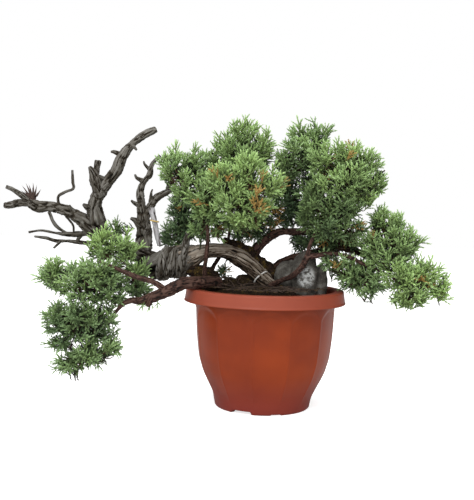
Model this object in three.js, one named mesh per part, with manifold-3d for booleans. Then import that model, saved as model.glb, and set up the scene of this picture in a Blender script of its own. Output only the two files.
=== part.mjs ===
/**
 * Cascading juniper bonsai in a moulded flower pot.
 *
 * Millimetres, +Z up. The origin is the middle of the pot's foot, on the surface it stands on, and the
 * front of the tree faces -Y. Every limb, stone, tie and foliage pad is a closed solid of its own.
 * A piece is made by a function of `grow`, so that the pieces around it can be cut back by a solid
 * that is larger all round by the gap.
 */
import * as THREE from "three";
import { mergeVertices } from "three/addons/utils/BufferGeometryUtils.js";
import Module from "manifold-3d";

const wasm = await Module();
wasm.setup();

// ---------------------------------------------------------------- driving dimensions
const GAP = 0.35;

const POT = {
  height: 183,
  rimTopRadius: 122,
  rimLowRadius: 125,
  rimBand: 20,
  rimThickness: 2.6,
  mouthRadius: 108,
  footRadius: 73,
  footChannel: { inner: 31, outer: 63, depth: 4 },
  wall: 2.6,
  floor: 7,
  panels: 12,
  fluteDepth: 1.6,
  firstRib: THREE.MathUtils.degToRad(-9),
  segments: 36,
};

// outer radius of the pot's wall at a height, from the foot to just under the rim
const WALL_LINE = [
  [2, 73.8], [12, 75.8], [20, 78.3], [31, 83.6], [52, 94.2], [66, 99.1], [83, 103.2], [120, 107], [163, 109],
];

// the same line on the inside, where the wall is plain
const INSIDE_LINE = WALL_LINE.filter(([z]) => z > 30);

const SOIL = { edge: 169, crown: 173, radius: 103.5 };

const FOOT_NOTCHES = [
  { middle: -25, width: 25, height: 5 },
  { middle: 17, width: 12, height: 1.5 },
  { middle: 95, width: 25, height: 5 },
  { middle: 137, width: 12, height: 1.5 },
  { middle: 215, width: 25, height: 5 },
  { middle: 257, width: 12, height: 1.5 },
];

const DRAIN_HOLES = { count: 6, radius: 5, circle: 47 };

// ---------------------------------------------------------------- materials
const finish = (color, roughness) => new THREE.MeshStandardMaterial({ color, roughness, metalness: 0 });
const TERRACOTTA = finish(0xa54f30, 0.42);
const SOIL_BROWN = finish(0x2e2119, 1);
const MOSS = finish(0x4f4a24, 1);
const STONE = finish(0x6d706b, 0.9);
const PINK_STONE = finish(0xc9b3a4, 0.8);
const OLD_WOOD = finish(0x6b5d4d, 0.9);
const LIVE_BARK = finish(0x6b3d2e, 0.85);
const PALE_STRIP = finish(0xa7a39b, 0.9);
const WHITE_TIE = finish(0xe9e8e2, 0.35);
const RAFFIA = finish(0xc9ab62, 0.8);
const FOLIAGE = finish(0x5f8a4e, 0.8);

// ---------------------------------------------------------------- solids and surfaces
/** A closed solid from a three.js geometry, its doubled vertices merged. */
function solidOf(geometry) {
  geometry.deleteAttribute("normal");
  geometry.deleteAttribute("uv");
  const merged = mergeVertices(geometry, 1e-4);
  return new wasm.Manifold(
    new wasm.Mesh({
      numProp: 3,
      vertProperties: new Float32Array(merged.attributes.position.array),
      triVerts: new Uint32Array(merged.index.array),
    }),
  );
}

/** The three.js geometry of a solid. */
function geometryOf(solid) {
  const mesh = solid.getMesh();
  const geometry = new THREE.BufferGeometry();
  geometry.setAttribute("position", new THREE.BufferAttribute(mesh.vertProperties, 3));
  geometry.setIndex(new THREE.BufferAttribute(mesh.triVerts, 1));
  geometry.computeVertexNormals();
  return geometry;
}

const joined = (solids) => solids.reduce((whole, piece) => whole.add(piece));

/** The largest of the bodies that a cut leaves. */
function largestBody(solid) {
  const bodies = solid.decompose();
  return bodies.reduce((best, body) => (body.volume() > best.volume() ? body : best));
}

/**
 * A tapered limb: a closed cylinder carried along a curve through [x, y, z, radius] points.
 * Each ring is turned with the curve and takes the radius found between its two nearest points.
 */
function limb(points, grow, sides = 8) {
  const curve = new THREE.CatmullRomCurve3(points.map(([x, y, z]) => new THREE.Vector3(x, y, z)));
  const steps = points.length - 1;
  const frames = curve.computeFrenetFrames(steps, false);
  const rings = Array.from({ length: steps + 1 }, (_, i) => {
    const along = curve.getUtoTmapping(i / steps) * steps;
    const span = Math.min(Math.floor(along), steps - 1);
    const radius = THREE.MathUtils.lerp(points[span][3], points[span + 1][3], along - span);
    const end = i === 0 ? -grow : i === steps ? grow : 0;
    const centre = curve.getPointAt(i / steps).addScaledVector(frames.tangents[i], end);
    return { centre, radius: radius + grow };
  });
  const geometry = new THREE.CylinderGeometry(1, 1, 1, sides, steps);
  const position = geometry.attributes.position;
  for (let i = 0; i < position.count; i += 1) {
    const ring = Math.round((position.getY(i) + 0.5) * steps);
    const { centre, radius } = rings[ring];
    const place = centre
      .clone()
      .addScaledVector(frames.normals[ring], position.getX(i) * radius)
      .addScaledVector(frames.binormals[ring], -position.getZ(i) * radius);
    position.setXYZ(i, place.x, place.y, place.z);
  }
  return solidOf(geometry);
}

/** A limb with side limbs, joined into one solid. */
const limbs = (routes, grow, sides) => joined(routes.map((route) => limb(route, grow, sides)));

/** One rounded lobe of foliage: [x, y, z, half width, half height], deeper than it is wide. */
function lobe([x, y, z, halfWidth, halfHeight], grow) {
  const fullness = 1.12;
  const depth = 1.25;
  const geometry = new THREE.OctahedronGeometry(1, 1);
  geometry.rotateZ(x * 0.37 + z * 0.11);
  geometry.rotateX(y * 0.29 + x * 0.07);
  geometry.scale(
    halfWidth * fullness + grow,
    Math.max(halfWidth, halfHeight) * depth + grow,
    halfHeight * fullness + grow,
  );
  geometry.translate(x, y, z);
  return solidOf(geometry);
}

const pad = (lobes) => (grow) => joined(lobes.map((each) => lobe(each, grow)));

/** A stone: a sphere stretched to its size, with knobs and hollows from three sine waves. */
function stone({ centre, size, lean = 0, waves = 5, roughness = 0.1 }) {
  return (grow) => {
    const geometry = new THREE.IcosahedronGeometry(1, 2);
    const position = geometry.attributes.position;
    for (let i = 0; i < position.count; i += 1) {
      const [x, y, z] = [position.getX(i), position.getY(i), position.getZ(i)];
      const bump = Math.sin(waves * x + centre[0]) + Math.sin(waves * y + 2) + Math.sin(waves * z);
      const scale = 1 + (roughness * bump) / 3;
      position.setXYZ(i, x * scale, y * scale, z * scale);
    }
    geometry.scale(size[0] + grow, size[1] + grow, size[2] + grow);
    geometry.rotateY(lean);
    geometry.translate(...centre);
    return solidOf(geometry);
  };
}

/** A closed loop of round cord about a limb, its axis turned from +Z towards the limb's direction. */
function loop({ centre, along, radius, cord }) {
  return (grow) => {
    const geometry = new THREE.TorusGeometry(radius, cord + grow, 6, 24);
    const turn = new THREE.Quaternion().setFromUnitVectors(
      new THREE.Vector3(0, 0, 1),
      new THREE.Vector3(...along).normalize(),
    );
    geometry.applyQuaternion(turn);
    geometry.translate(...centre);
    return solidOf(geometry);
  };
}

// ---------------------------------------------------------------- pot
/** Half section of the pot: foot, bell-shaped wall, turned-down rim, inside wall and floor. */
function potSection() {
  const { inner, outer, depth } = POT.footChannel;
  const rimInner = POT.mouthRadius;
  const skirt = POT.height - POT.rimBand;
  const under = POT.height - POT.rimThickness;
  const inside = INSIDE_LINE.toReversed();
  const section = [
    [0, 0], [inner - 3, 0], [inner, depth], [outer, depth], [outer + 3, 0], [POT.footRadius - 0.8, 0],
    ...WALL_LINE.map(([z, r]) => [r, z]),
    [POT.mouthRadius + POT.wall, under - 1],
    [POT.rimTopRadius - POT.rimThickness, under],
    [POT.rimLowRadius - POT.rimThickness, skirt],
    [POT.rimLowRadius, skirt],
    [POT.rimTopRadius + 0.4, POT.height - 1.8],
    [POT.rimTopRadius - 1.4, POT.height],
    [rimInner + 0.8, POT.height],
    [rimInner, POT.height - 1.4],
    ...inside.map(([z, r]) => [r - POT.wall - 0.4, z]),
    [POT.footRadius - POT.wall - 1, POT.floor + 3],
    [POT.footRadius - POT.wall - 5, POT.floor],
    [0, POT.floor],
  ];
  return section.map(([r, z]) => new THREE.Vector2(r, z));
}

/** Presses the arched panels into the outside of the wall: shallow hollows between upright ribs. */
function fluteWall(geometry) {
  const position = geometry.attributes.position;
  const skirt = POT.height - POT.rimBand;
  for (let i = 0; i < position.count; i += 1) {
    const [x, y, z] = [position.getX(i), position.getY(i), position.getZ(i)];
    const r = Math.hypot(x, y);
    const outerWall = z >= WALL_LINE[0][0] && z < skirt && r > wallRadius(z) - POT.wall / 2;
    if (outerWall) {
      const turn = Math.atan2(x, -y) - POT.firstRib;
      const panel = Math.abs(Math.sin((turn * POT.panels) / 2));
      const fade = Math.min(1, (skirt - z) / 16) * Math.min(1, z / 24);
      const scale = 1 - (POT.fluteDepth * panel * fade) / r;
      position.setXYZ(i, x * scale, y * scale, z);
    }
  }
}

/** Outer radius of the wall at height z, in straight lines between the points of the wall's outline. */
function wallRadius(z) {
  const i = Math.max(1, WALL_LINE.findIndex(([height]) => height >= z));
  const [[z0, r0], [z1, r1]] = [WALL_LINE[i - 1], WALL_LINE[i]];
  return THREE.MathUtils.mapLinear(z, z0, z1, r0, r1);
}

/** A wedge that opens the foot ring from outside, `width` degrees wide about `middle`. */
function footNotch({ middle, width, height }) {
  const chord = 2 * POT.footRadius * Math.sin(THREE.MathUtils.degToRad(width / 2));
  const geometry = new THREE.BoxGeometry(chord, 16, height * 2);
  geometry.translate(0, -POT.footRadius, 0);
  geometry.rotateZ(THREE.MathUtils.degToRad(middle));
  return solidOf(geometry);
}

function drainHole(i) {
  const angle = (i / DRAIN_HOLES.count) * 2 * Math.PI;
  const geometry = new THREE.CylinderGeometry(DRAIN_HOLES.radius, DRAIN_HOLES.radius, 30, 8);
  geometry.rotateX(Math.PI / 2);
  geometry.translate(DRAIN_HOLES.circle * Math.cos(angle), DRAIN_HOLES.circle * Math.sin(angle), 5);
  return solidOf(geometry);
}

function makePot() {
  const geometry = new THREE.LatheGeometry(potSection(), POT.segments);
  geometry.rotateX(Math.PI / 2);
  fluteWall(geometry);
  const shell = solidOf(geometry);
  const holes = Array.from({ length: DRAIN_HOLES.count }, (_, i) => drainHole(i));
  return shell.subtract(joined([...holes, ...FOOT_NOTCHES.map(footNotch)]));
}

/** The root ball: it fills the pot to below the rim, a gap inside the wall, with a low crown. */
function makeSoil() {
  const clear = POT.wall + 1.6;
  const section = [
    [0, POT.floor + GAP],
    [POT.footRadius - clear - 8, POT.floor + GAP],
    [POT.footRadius - clear - 3, POT.floor + 6],
    ...INSIDE_LINE.map(([z, r]) => [r - clear, z]),
    [SOIL.radius, SOIL.edge],
    [SOIL.radius * 0.6, SOIL.crown],
    [0, SOIL.crown],
  ];
  const geometry = new THREE.LatheGeometry(section.map(([r, z]) => new THREE.Vector2(r, z)), 24);
  geometry.rotateX(Math.PI / 2);
  return solidOf(geometry);
}

// ---------------------------------------------------------------- trunk and dead wood
const OLD_TRUNK = [
  [25, 8, 174, 12.5], [9, 7, 189, 11.5], [-7, 6, 202, 11.5], [-24, 5, 217.5, 12],
  [-42, 4, 230, 12], [-61, 2, 238, 11.5], [-81, 0, 240, 11.5], [-98, -2, 237, 12],
  [-112, -2, 231, 16], [-129, 0, 225, 20.5], [-146, 2, 218, 23], [-164, 4, 214, 22],
  [-182, 8, 218, 18], [-195, 12, 230, 15], [-199, 14, 245, 13.5],
];
const LIVE_TRUNK = [
  [35, 18, 173, 13.5], [20, 16, 190, 12], [6, 16, 206, 12.5], [-9, 16, 218, 12.5],
  [-25, 16, 230, 12], [-39, 16, 241, 11], [-55, 16, 249, 8.5], [-67, 14, 257, 4],
];
const BURL_SPIKE = [[-129, 0, 232, 9], [-124, -2, 254, 5], [-122, -2, 266, 2.5]];
const ROOT_SPUR = [[-82, 0, 188, 13], [-100, -4, 201, 12], [-118, -6, 212, 10]];
const ROOT_CROWN = [[-78, 2, 160, 17], [-80, 0, 178, 18], [-86, -2, 194, 15], [-92, -5, 208, 10]];

const DEAD_TALL = [
  [-256, 14, 255.5, 10.5], [-266, 8, 272.5, 13.5], [-269, 2, 300.5, 12], [-262, -2, 322.5, 10],
  [-249, -4, 340.5, 9.3], [-235, -6, 358.5, 9], [-227, -4, 379.5, 7.8], [-214, 0, 399.5, 6.2],
  [-198, 6, 414.5, 5.5], [-178, 12, 425.5, 4.7],
];
const DEAD_TALL_STUB = [
  [-260.5, -2, 321.5, 8], [-265.5, -10, 342.5, 9], [-269.5, -14, 354.5, 6.5],
  [-274.5, -16, 363.5, 3.2],
];
const DEAD_TALL_FINGER = [
  [-266.5, -6, 345.5, 5], [-266, -4, 361.5, 4.6], [-265, -2, 373.5, 5],
];
const DEAD_BRIDGE = [
  [-262, 12, 263, 7.5], [-246, 12, 257, 6], [-234, 14, 246, 6], [-221, 16, 232, 7.2], [-200, 14, 224, 9],
];
const DEAD_ARM = [
  [-261.5, 8, 256, 11], [-285.5, 0, 280, 11], [-299.5, -6, 289, 9], [-319.5, -8, 297, 7.5],
  [-337.5, -6, 301, 7], [-356.5, -4, 301, 8.2], [-368.5, -6, 306, 6.2],
];
const DEAD_ARM_UPPER = [
  [-365, -6, 304, 4.8], [-382, -12, 318, 3.7], [-394, -16, 326, 3], [-403, -18, 330, 2.4],
];
const DEAD_ARM_LOWER = [
  [-365, -6, 305, 6.2], [-386, 0, 306, 5.5], [-403, 4, 302, 4.7], [-412, 6, 301, 4],
];
const DEAD_FAN = [[-366, -6, 308, 4], [-370, -8, 320, 6], [-374, -10, 334, 8]];
const DEAD_SWITCH = [
  [-322, -8, 300, 2.8], [-324, -12, 316, 2.4], [-313, -14, 324, 2.3], [-300, -14, 330, 2.1],
  [-301, -14, 341, 1.9], [-302, -14, 358, 1.5],
];
const LOW_TWIGS = [
  [
    [-370, -8, 260.5, 1.6], [-352, -4, 263.5, 1.8], [-332, 0, 260.5, 2.2], [-313, 4, 258.5, 3.5],
    [-293, 6, 259.5, 4.2], [-278, 10, 260.5, 3.8],
  ],
  [
    [-364, 4, 253.5, 1.7], [-347, 6, 251.5, 2.4], [-330, 8, 247.5, 2.6], [-311, 10, 247.5, 2.8],
    [-283, 12, 245.5, 2.8], [-262, 14, 249.5, 3.2],
  ],
  [[-333, 2, 236.5, 1.6], [-323, 8, 247.5, 2.2]],
  [[-339, -6, 292.5, 2.6], [-334, -2, 278.5, 2.4], [-326, 0, 268.5, 2.4], [-312, 4, 259.5, 2.6]],
  [[-313, -4, 286.5, 1.6], [-303, 0, 273.5, 1.6], [-302, 4, 260.5, 1.6]],
  [[-299, 10, 245.5, 3.2], [-292, 8, 256.5, 3.5], [-280, 6, 266.5, 3.6]],
];
const DEAD_RIGHT = [
  [-194, 14, 241.5, 14], [-192, 12, 257.5, 12.6], [-193, 8, 276.5, 11], [-195, 4, 296.5, 8.6],
  [-197, 2, 313.5, 6.2], [-198, 0, 330.5, 5], [-192, -2, 343.5, 4.8], [-184, -2, 354.5, 4.7],
  [-182, 0, 367.5, 3.1], [-177, 2, 376.5, 2.6], [-169, 4, 384.5, 2.1],
];
const DEAD_RIGHT_FORK = [
  [-193, 6, 283, 7.2], [-186, 4, 300, 6.6], [-179, 0, 309, 6.2], [-170, -4, 320, 5.3],
  [-156, -8, 328, 4.1], [-141, -10, 336, 3.1],
];
const DEAD_RIGHT_TWIG = [[-156, -8, 328, 3.1], [-151, -10, 344, 2.8], [-147, -12, 356, 2.2]];
const BARK_STRIP = [
  [-182, 2, 307, 3.8], [-179, 0, 298, 4.6], [-175, 0, 283, 4.2], [-172, 2, 266, 4], [-167, 4, 245, 3],
];

// ---------------------------------------------------------------- live branches and stems
const BRANCH_LEFT = [
  [-72, -22, 192, 9.2], [-95, -46, 193.4, 9.1], [-121, -65, 193, 9], [-143, -70, 182, 8.8],
  [-166, -68, 171, 7.6], [-184, -66, 165, 6.2], [-200, -64, 165, 4.5], [-214, -60, 156, 3.1],
  [-227, -56, 140, 2.4], [-241, -50, 120, 1.8],
];
const BRANCH_LEFT_STUB = [[-166, -70, 171, 3.8], [-171, -80, 160, 3.5]];
const BRANCH_LEFT_SIDE = [
  [-144, -70, 181, 4.6], [-165, -76, 195, 4], [-187, -80, 201, 3.8], [-205, -80, 208, 3.4],
  [-225, -76, 215, 2.6], [-245, -72, 222, 1.9],
];
const STEM_FRONT = [
  [-90, -16, 190, 3.9], [-93, -28, 210, 3.3], [-91, -34, 226, 3.1], [-89, -36, 248, 2.9],
  [-89, -34, 268, 2.5], [-92, -30, 290, 2.1],
];
const STEM_BACK = [
  [-86, 12, 188, 4.7], [-84, 22, 209, 3.6], [-77, 28, 223, 3], [-67, 32, 239, 2.6], [-61, 32, 255, 2.5],
  [-58, 28, 275, 2.3], [-55, 22, 300, 2],
];
const BRANCH_UPPER = [
  [-26, 20, 226, 10.8], [-13, 24, 246, 8.4], [-1, 28, 258, 7.6], [12, 30, 266.5, 6.4],
  [26, 32, 271.5, 5.6], [43, 32, 271.5, 5.4], [59, 30, 271.5, 4.9], [76, 28, 269.5, 4.4],
  [92, 26, 263.5, 4.1], [111, 24, 257.5, 3.6], [135, 20, 248.5, 3], [156, 16, 241.5, 2.5],
];
const BRANCH_BACK = [
  [-4, 26, 204, 6.6], [13, 34, 213, 6], [25, 40, 221, 6.1], [39, 42, 228, 5.6], [52, 42, 233, 4.7],
  [67, 38, 239, 4.3], [86, 32, 242, 4], [104, 26, 245, 3.6], [124, 22, 246, 3.3], [144, 16, 240, 3],
  [165, 10, 231, 2.4], [190, 4, 223, 1.9],
];
const BRANCH_FRONT = [
  [8, -10, 188, 4.2], [26, -26, 199, 3.6], [37, -34, 204, 3.8], [47, -39, 212, 4.2], [56, -40, 223, 4.5],
  [63, -40, 236, 4.6], [77, -36, 238, 3.8], [90, -34, 241, 3.3], [109, -34, 241, 3], [127, -34, 237, 2.8],
  [148, -34, 227, 2.5], [172, -34, 218, 2.1], [197, -34, 205, 1.8],
];
const BRANCH_RISER = [
  [62, -40, 234, 3.8], [65, -40, 252, 2.9], [70, -38, 265, 2.7], [77, -36, 275, 2.6], [83, -32, 287, 2.3],
  [95, -28, 301, 2.1], [107, -24, 317, 1.8],
];

// ---------------------------------------------------------------- foliage pads
const FOLIAGE_PADS = {
  foliage_left_top: [[-244, -48, 249, 23, 20], [-211, -46, 245, 20, 17], [-262, -44, 243, 11, 11]],
  foliage_left_outer: [[-321, -42, 199, 21, 24], [-308, -42, 176, 14, 9]],
  foliage_left_middle: [
    [-276, -50, 192, 30, 30], [-240, -56, 201, 31, 30], [-228, -48, 177, 23, 20],
    [-256, -12, 186, 31, 25], [-270, -48, 174, 30, 12], [-231, -44, 168, 17, 11],
  ],
  foliage_left_inner: [[-198, -26, 183, 25, 14], [-196, -34, 208, 20, 12]],
  foliage_left_low: [
    [-310, -48, 130, 25, 28], [-274, -56, 138, 30, 26], [-242, -50, 136, 21, 21],
    [-285, -50, 110, 27, 18], [-254, -40, 109, 24, 18], [-280, -12, 120, 31, 25],
    [-300, -44, 97, 26, 12],
  ],
  foliage_left_tail: [[-239, -40, 93, 24, 12], [-266, -44, 82, 30, 21], [-296, -42, 62, 22, 15]],
  foliage_crown_left: [
    [-146, -14, 370, 23, 26], [-116, -16, 375, 23, 21], [-121, -20, 347, 26, 21],
    [-131, -18, 330, 15, 13],
  ],
  foliage_crown_top: [
    [-65, 4, 406, 20, 21], [-41, 4, 417, 25, 26], [-12, 6, 402, 19, 25], [-50, -12, 391, 28, 20],
    [-86, 0, 384, 18, 13], [-46, 42, 396, 32, 26],
  ],
  foliage_crown_front: [
    [-29, -62, 366, 24, 22], [-64, -62, 350, 28, 21], [0, -60, 346, 24, 21], [-55, -66, 323, 26, 22],
    [-18, -64, 315, 28, 21], [-34, -56, 294, 30, 13],
  ],
  foliage_crown_low: [
    [-95, -26, 324, 27, 30], [-83, -34, 297, 27, 18], [-53, -36, 285, 17, 12],
    [-103, -22, 272, 16, 12], [-74, -18, 272, 14, 12],
  ],
  foliage_centre_back: [
    [-138, 42, 304, 22, 19], [-135, 46, 275, 27, 18], [-102, 30, 310, 22, 24],
    [-158, 44, 259, 15, 17], [-145, 44, 246, 13, 9],
  ],
  foliage_crown_back: [
    [-14, 34, 279, 25, 16], [-41, 40, 335, 32, 29], [-85, 38, 350, 26, 26], [-34, 24, 266, 20, 13],
    [-12, 26, 272, 20, 17], [4, 24, 288, 20, 18], [12, 24, 306, 19, 20], [-22, 38, 305, 24, 18],
  ],
  foliage_right_back: [
    [34, 42, 329, 21, 32], [29, 44, 297, 18, 16], [59, 46, 309, 22, 29], [72, 42, 354, 24, 25],
  ],
  foliage_right_top_left: [[27, 6, 381, 15, 24], [42, 0, 401, 19, 26], [36, 10, 370, 17, 18]],
  foliage_right_top: [
    [50, 0, 425, 18, 15], [78, -2, 427, 17, 15], [64, -6, 404, 25, 18], [68, 30, 392, 25, 22],
  ],
  foliage_right_crown: [
    [81, -40, 386, 22, 22], [115, -44, 390, 24, 21], [146, -34, 378, 21, 22], [164, -26, 353, 15, 17],
    [124, -52, 355, 30, 22], [96, -50, 347, 25, 22], [147, -36, 331, 18, 15], [127, 14, 367, 31, 28],
  ],
  foliage_right_middle: [
    [72, -40, 325, 22, 30], [108, -46, 309, 27, 22], [95, -38, 283, 30, 20], [130, -34, 281, 18, 17],
    [64, -22, 294, 18, 18], [110, 12, 311, 31, 26],
  ],
  foliage_right_under: [[68, 26, 256, 18, 9], [100, 26, 257, 22, 9], [134, 22, 256, 17, 11]],
  foliage_right_spray: [[50, 46, 259, 13, 7], [58, 48, 247, 9, 13]],
  foliage_right_inner: [
    [130, -26, 209, 23, 21], [160, -32, 203, 25, 22], [150, 4, 212, 25, 23],
    [95, -30, 231, 15, 9], [113, -30, 230, 16, 11], [158, -34, 189, 24, 8],
  ],
  foliage_right_low: [
    [173, -10, 292, 14, 23], [192, -16, 284, 18, 23], [165, -20, 259, 26, 23],
    [199, -30, 257, 26, 24], [219, -18, 264, 16, 20], [188, -34, 235, 30, 18],
    [196, 14, 254, 25, 23],
  ],
  foliage_right_front: [
    [200, -50, 214, 27, 24], [236, -46, 217, 25, 21], [217, -50, 189, 27, 22],
    [228, -12, 205, 28, 23], [208, -46, 176, 18, 9],
  ],
  foliage_right_tip: [[262, -34, 194, 19, 16]],
  foliage_arch_sprig: [[-71, 30, 209, 10, 6]],
  foliage_left_sprig: [[-238, 24, 271, 6, 14]],
};

// ---------------------------------------------------------------- assembly
const tree = new THREE.Group();
const placed = [];

/** Cuts a piece back from every piece made before it, and adds what is left as a named mesh. */
function place(name, material, make) {
  const cut = placed.reduce((left, earlier) => left.subtract(earlier(GAP)), make(0));
  const mesh = new THREE.Mesh(geometryOf(largestBody(cut)), material);
  mesh.name = name;
  tree.add(mesh);
  placed.push(make);
}

const pot = new THREE.Mesh(geometryOf(makePot()), TERRACOTTA);
pot.name = "pot";
tree.add(pot);

place("trunk", OLD_WOOD, (grow) => limbs([OLD_TRUNK, LIVE_TRUNK, BURL_SPIKE], grow));
place("root_crown", LIVE_BARK, (grow) => limbs([ROOT_CROWN, ROOT_SPUR], grow));
place("dead_limb_tall", OLD_WOOD, (grow) =>
  limbs([DEAD_TALL, DEAD_TALL_STUB, DEAD_TALL_FINGER, DEAD_BRIDGE], grow));
place("dead_limb_left", OLD_WOOD, (grow) => limbs([DEAD_ARM, DEAD_ARM_UPPER, DEAD_ARM_LOWER], grow));
place("dead_limb_right", OLD_WOOD, (grow) => limbs([DEAD_RIGHT, DEAD_RIGHT_FORK, DEAD_RIGHT_TWIG], grow));
place("dead_switch", OLD_WOOD, (grow) => limb(DEAD_SWITCH, grow, 6));
place("dead_shoot_fan", OLD_WOOD, (grow) => limb(DEAD_FAN, grow, 6));
place("dead_twigs_low", OLD_WOOD, (grow) => limbs(LOW_TWIGS, grow, 6));
place("bark_strip", PALE_STRIP, (grow) => limb(BARK_STRIP, grow, 6));

place("branch_left", LIVE_BARK, (grow) => limbs([BRANCH_LEFT, BRANCH_LEFT_STUB], grow));
place("branch_left_side", LIVE_BARK, (grow) => limb(BRANCH_LEFT_SIDE, grow, 6));
place("stem_front", LIVE_BARK, (grow) => limb(STEM_FRONT, grow, 6));
place("stem_back", LIVE_BARK, (grow) => limb(STEM_BACK, grow, 6));
place("branch_upper", LIVE_BARK, (grow) => limb(BRANCH_UPPER, grow));
place("branch_back", LIVE_BARK, (grow) => limb(BRANCH_BACK, grow));
place("branch_front", LIVE_BARK, (grow) => limb(BRANCH_FRONT, grow));
place("branch_riser", LIVE_BARK, (grow) => limb(BRANCH_RISER, grow, 6));

place("rock_centre", STONE, stone({ centre: [59, -16, 204], size: [20, 15, 37], lean: 0.06 }));
place("rock_left", STONE, stone({ centre: [38, 4, 198], size: [22, 15, 29], lean: -0.25 }));
place("rock_slim", STONE, stone({ centre: [85, -8, 196], size: [9.5, 12, 29], lean: 0.05 }));
place("soil", SOIL_BROWN, makeSoil);
place("moss_mound", MOSS, pad([
  [-30, 8, 172, 56, 16], [-54, 2, 176, 24, 20], [-33, 10, 186, 17, 16], [-78, -6, 172, 20, 10],
  [18, -8, 170, 44, 12], [-20, -44, 170, 40, 9],
]));
place("pebble", PINK_STONE, stone({ centre: [86, -38, 174.5], size: [5, 4, 3.4], waves: 2 }));
const trunkTie = { centre: [-7, 4, 199], along: [0.65, -0.35, -0.68], radius: 13.4, cord: 1.1 };
place("trunk_tie", WHITE_TIE, loop(trunkTie));
place("raffia_tie", RAFFIA, loop({ centre: [-175, 0, 283], along: [0.2, 0, 1], radius: 6.4, cord: 1.1 }));

for (const [name, lobes] of Object.entries(FOLIAGE_PADS)) {
  place(name, FOLIAGE, pad(lobes));
}

export default tree;
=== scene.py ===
"""Looks of a cascading juniper bonsai in a moulded flower pot.

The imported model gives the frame: one rigid body, with a plain solid for each piece. Every piece is
replaced here by a detailed mesh in the same place, in metres, +Z up, with the front towards -Y.
Routes of limbs are short lists of points in millimetres, [x, y, z, radius], turned to metres by MM.
"""

import logging
import math
from dataclasses import dataclass, field, replace
from enum import Enum
from typing import Sequence

import bpy
import numpy as np
from mathutils import Matrix, Vector
from mathutils.bvhtree import BVHTree


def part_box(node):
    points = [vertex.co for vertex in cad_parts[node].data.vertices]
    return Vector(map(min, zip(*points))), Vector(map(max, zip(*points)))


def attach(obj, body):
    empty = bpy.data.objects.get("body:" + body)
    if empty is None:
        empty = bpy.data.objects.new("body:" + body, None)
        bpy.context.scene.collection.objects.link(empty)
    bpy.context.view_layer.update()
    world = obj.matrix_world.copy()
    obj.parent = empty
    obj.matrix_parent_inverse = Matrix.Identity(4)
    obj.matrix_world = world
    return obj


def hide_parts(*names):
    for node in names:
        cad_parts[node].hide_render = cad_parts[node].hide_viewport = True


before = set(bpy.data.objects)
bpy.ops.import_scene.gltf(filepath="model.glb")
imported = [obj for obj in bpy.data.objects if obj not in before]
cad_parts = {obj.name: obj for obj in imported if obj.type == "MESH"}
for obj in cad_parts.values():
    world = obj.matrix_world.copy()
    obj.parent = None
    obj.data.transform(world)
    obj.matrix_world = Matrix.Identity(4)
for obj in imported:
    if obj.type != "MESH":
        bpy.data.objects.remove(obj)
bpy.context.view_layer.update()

MM = 0.001
TURN = 2 * math.pi
UP = np.array([0.0, 0.0, 1.0])
GOLDEN_ANGLE = 2.39996

log = logging.getLogger("bonsai")

Route = Sequence[Sequence[float]]
Colour = tuple[float, float, float]
Template = tuple[np.ndarray, np.ndarray, np.ndarray]


# ---------------------------------------------------------------- numbers and noise
def unit(vectors: np.ndarray) -> np.ndarray:
    """Vectors scaled to length one.

    Args:
        vectors: any number of them, last axis of two or three.

    Returns:
        Each one divided by its length.
    """
    return vectors / np.maximum(np.linalg.norm(vectors, axis=-1, keepdims=True), 1e-12)


def smoothstep(low: float, high: float, x: np.ndarray) -> np.ndarray:
    """A soft step from 0 at low to 1 at high.

    Args:
        low: where the step starts, which may be above high for a falling step.
        high: where it ends.
        x: the numbers to step.

    Returns:
        3 t^2 - 2 t^3, with t the share of the way from low to high, kept in 0..1.
    """
    t = np.clip((x - low) / (high - low), 0, 1)
    return t * t * (3 - 2 * t)


def lattice(corner: np.ndarray, seed: int) -> np.ndarray:
    """A repeatable random number in 0..1 for each integer corner.

    Args:
        corner: integer coordinates, last axis of three.
        seed: which of many patterns.

    Returns:
        One number per corner, from multiplying and folding the coordinates' bits.
    """
    mixed = corner[..., 0] * 374761393 + corner[..., 1] * 668265263 + corner[..., 2] * 1274126177
    mixed = (mixed + seed * 144269504) & 0xFFFFFFFF
    mixed = ((mixed ^ (mixed >> 13)) * 1103515245) & 0xFFFFFFFF
    return ((mixed ^ (mixed >> 16)) & 0xFFFF) / 65535.0


def noise(points: np.ndarray, scale: float, seed: int = 0) -> np.ndarray:
    """Smooth value noise in -1..1.

    Args:
        points: positions, last axis of three.
        scale: how many lumps per metre, or per unit of the positions.
        seed: which pattern.

    Returns:
        The eight corners' random numbers blended by a soft step along each axis.
    """
    place = points * scale + 37.0
    low = np.floor(place).astype(np.int64)
    t = place - low
    t = t * t * (3 - 2 * t)
    total = np.zeros(points.shape[:-1])
    for step in np.ndindex(2, 2, 2):
        offset = np.array(step)
        weight = np.prod(np.where(offset, t, 1 - t), axis=-1)
        total += weight * lattice(low + offset, seed)
    return total * 2 - 1


def fractal(points: np.ndarray, scale: float, octaves: int = 3, seed: int = 0) -> np.ndarray:
    """Noise of several sizes added up, each finer by about two and half as strong.

    Args:
        points: positions, last axis of three.
        scale: how many lumps per metre in the coarsest.
        octaves: how many sizes.
        seed: which pattern.

    Returns:
        The sum, scaled to -1..1.
    """
    layers = range(octaves)
    return sum(noise(points, scale * 2.1**k, seed + k) * 0.5**k for k in layers) / (2 - 0.5 ** (octaves - 1))


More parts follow.
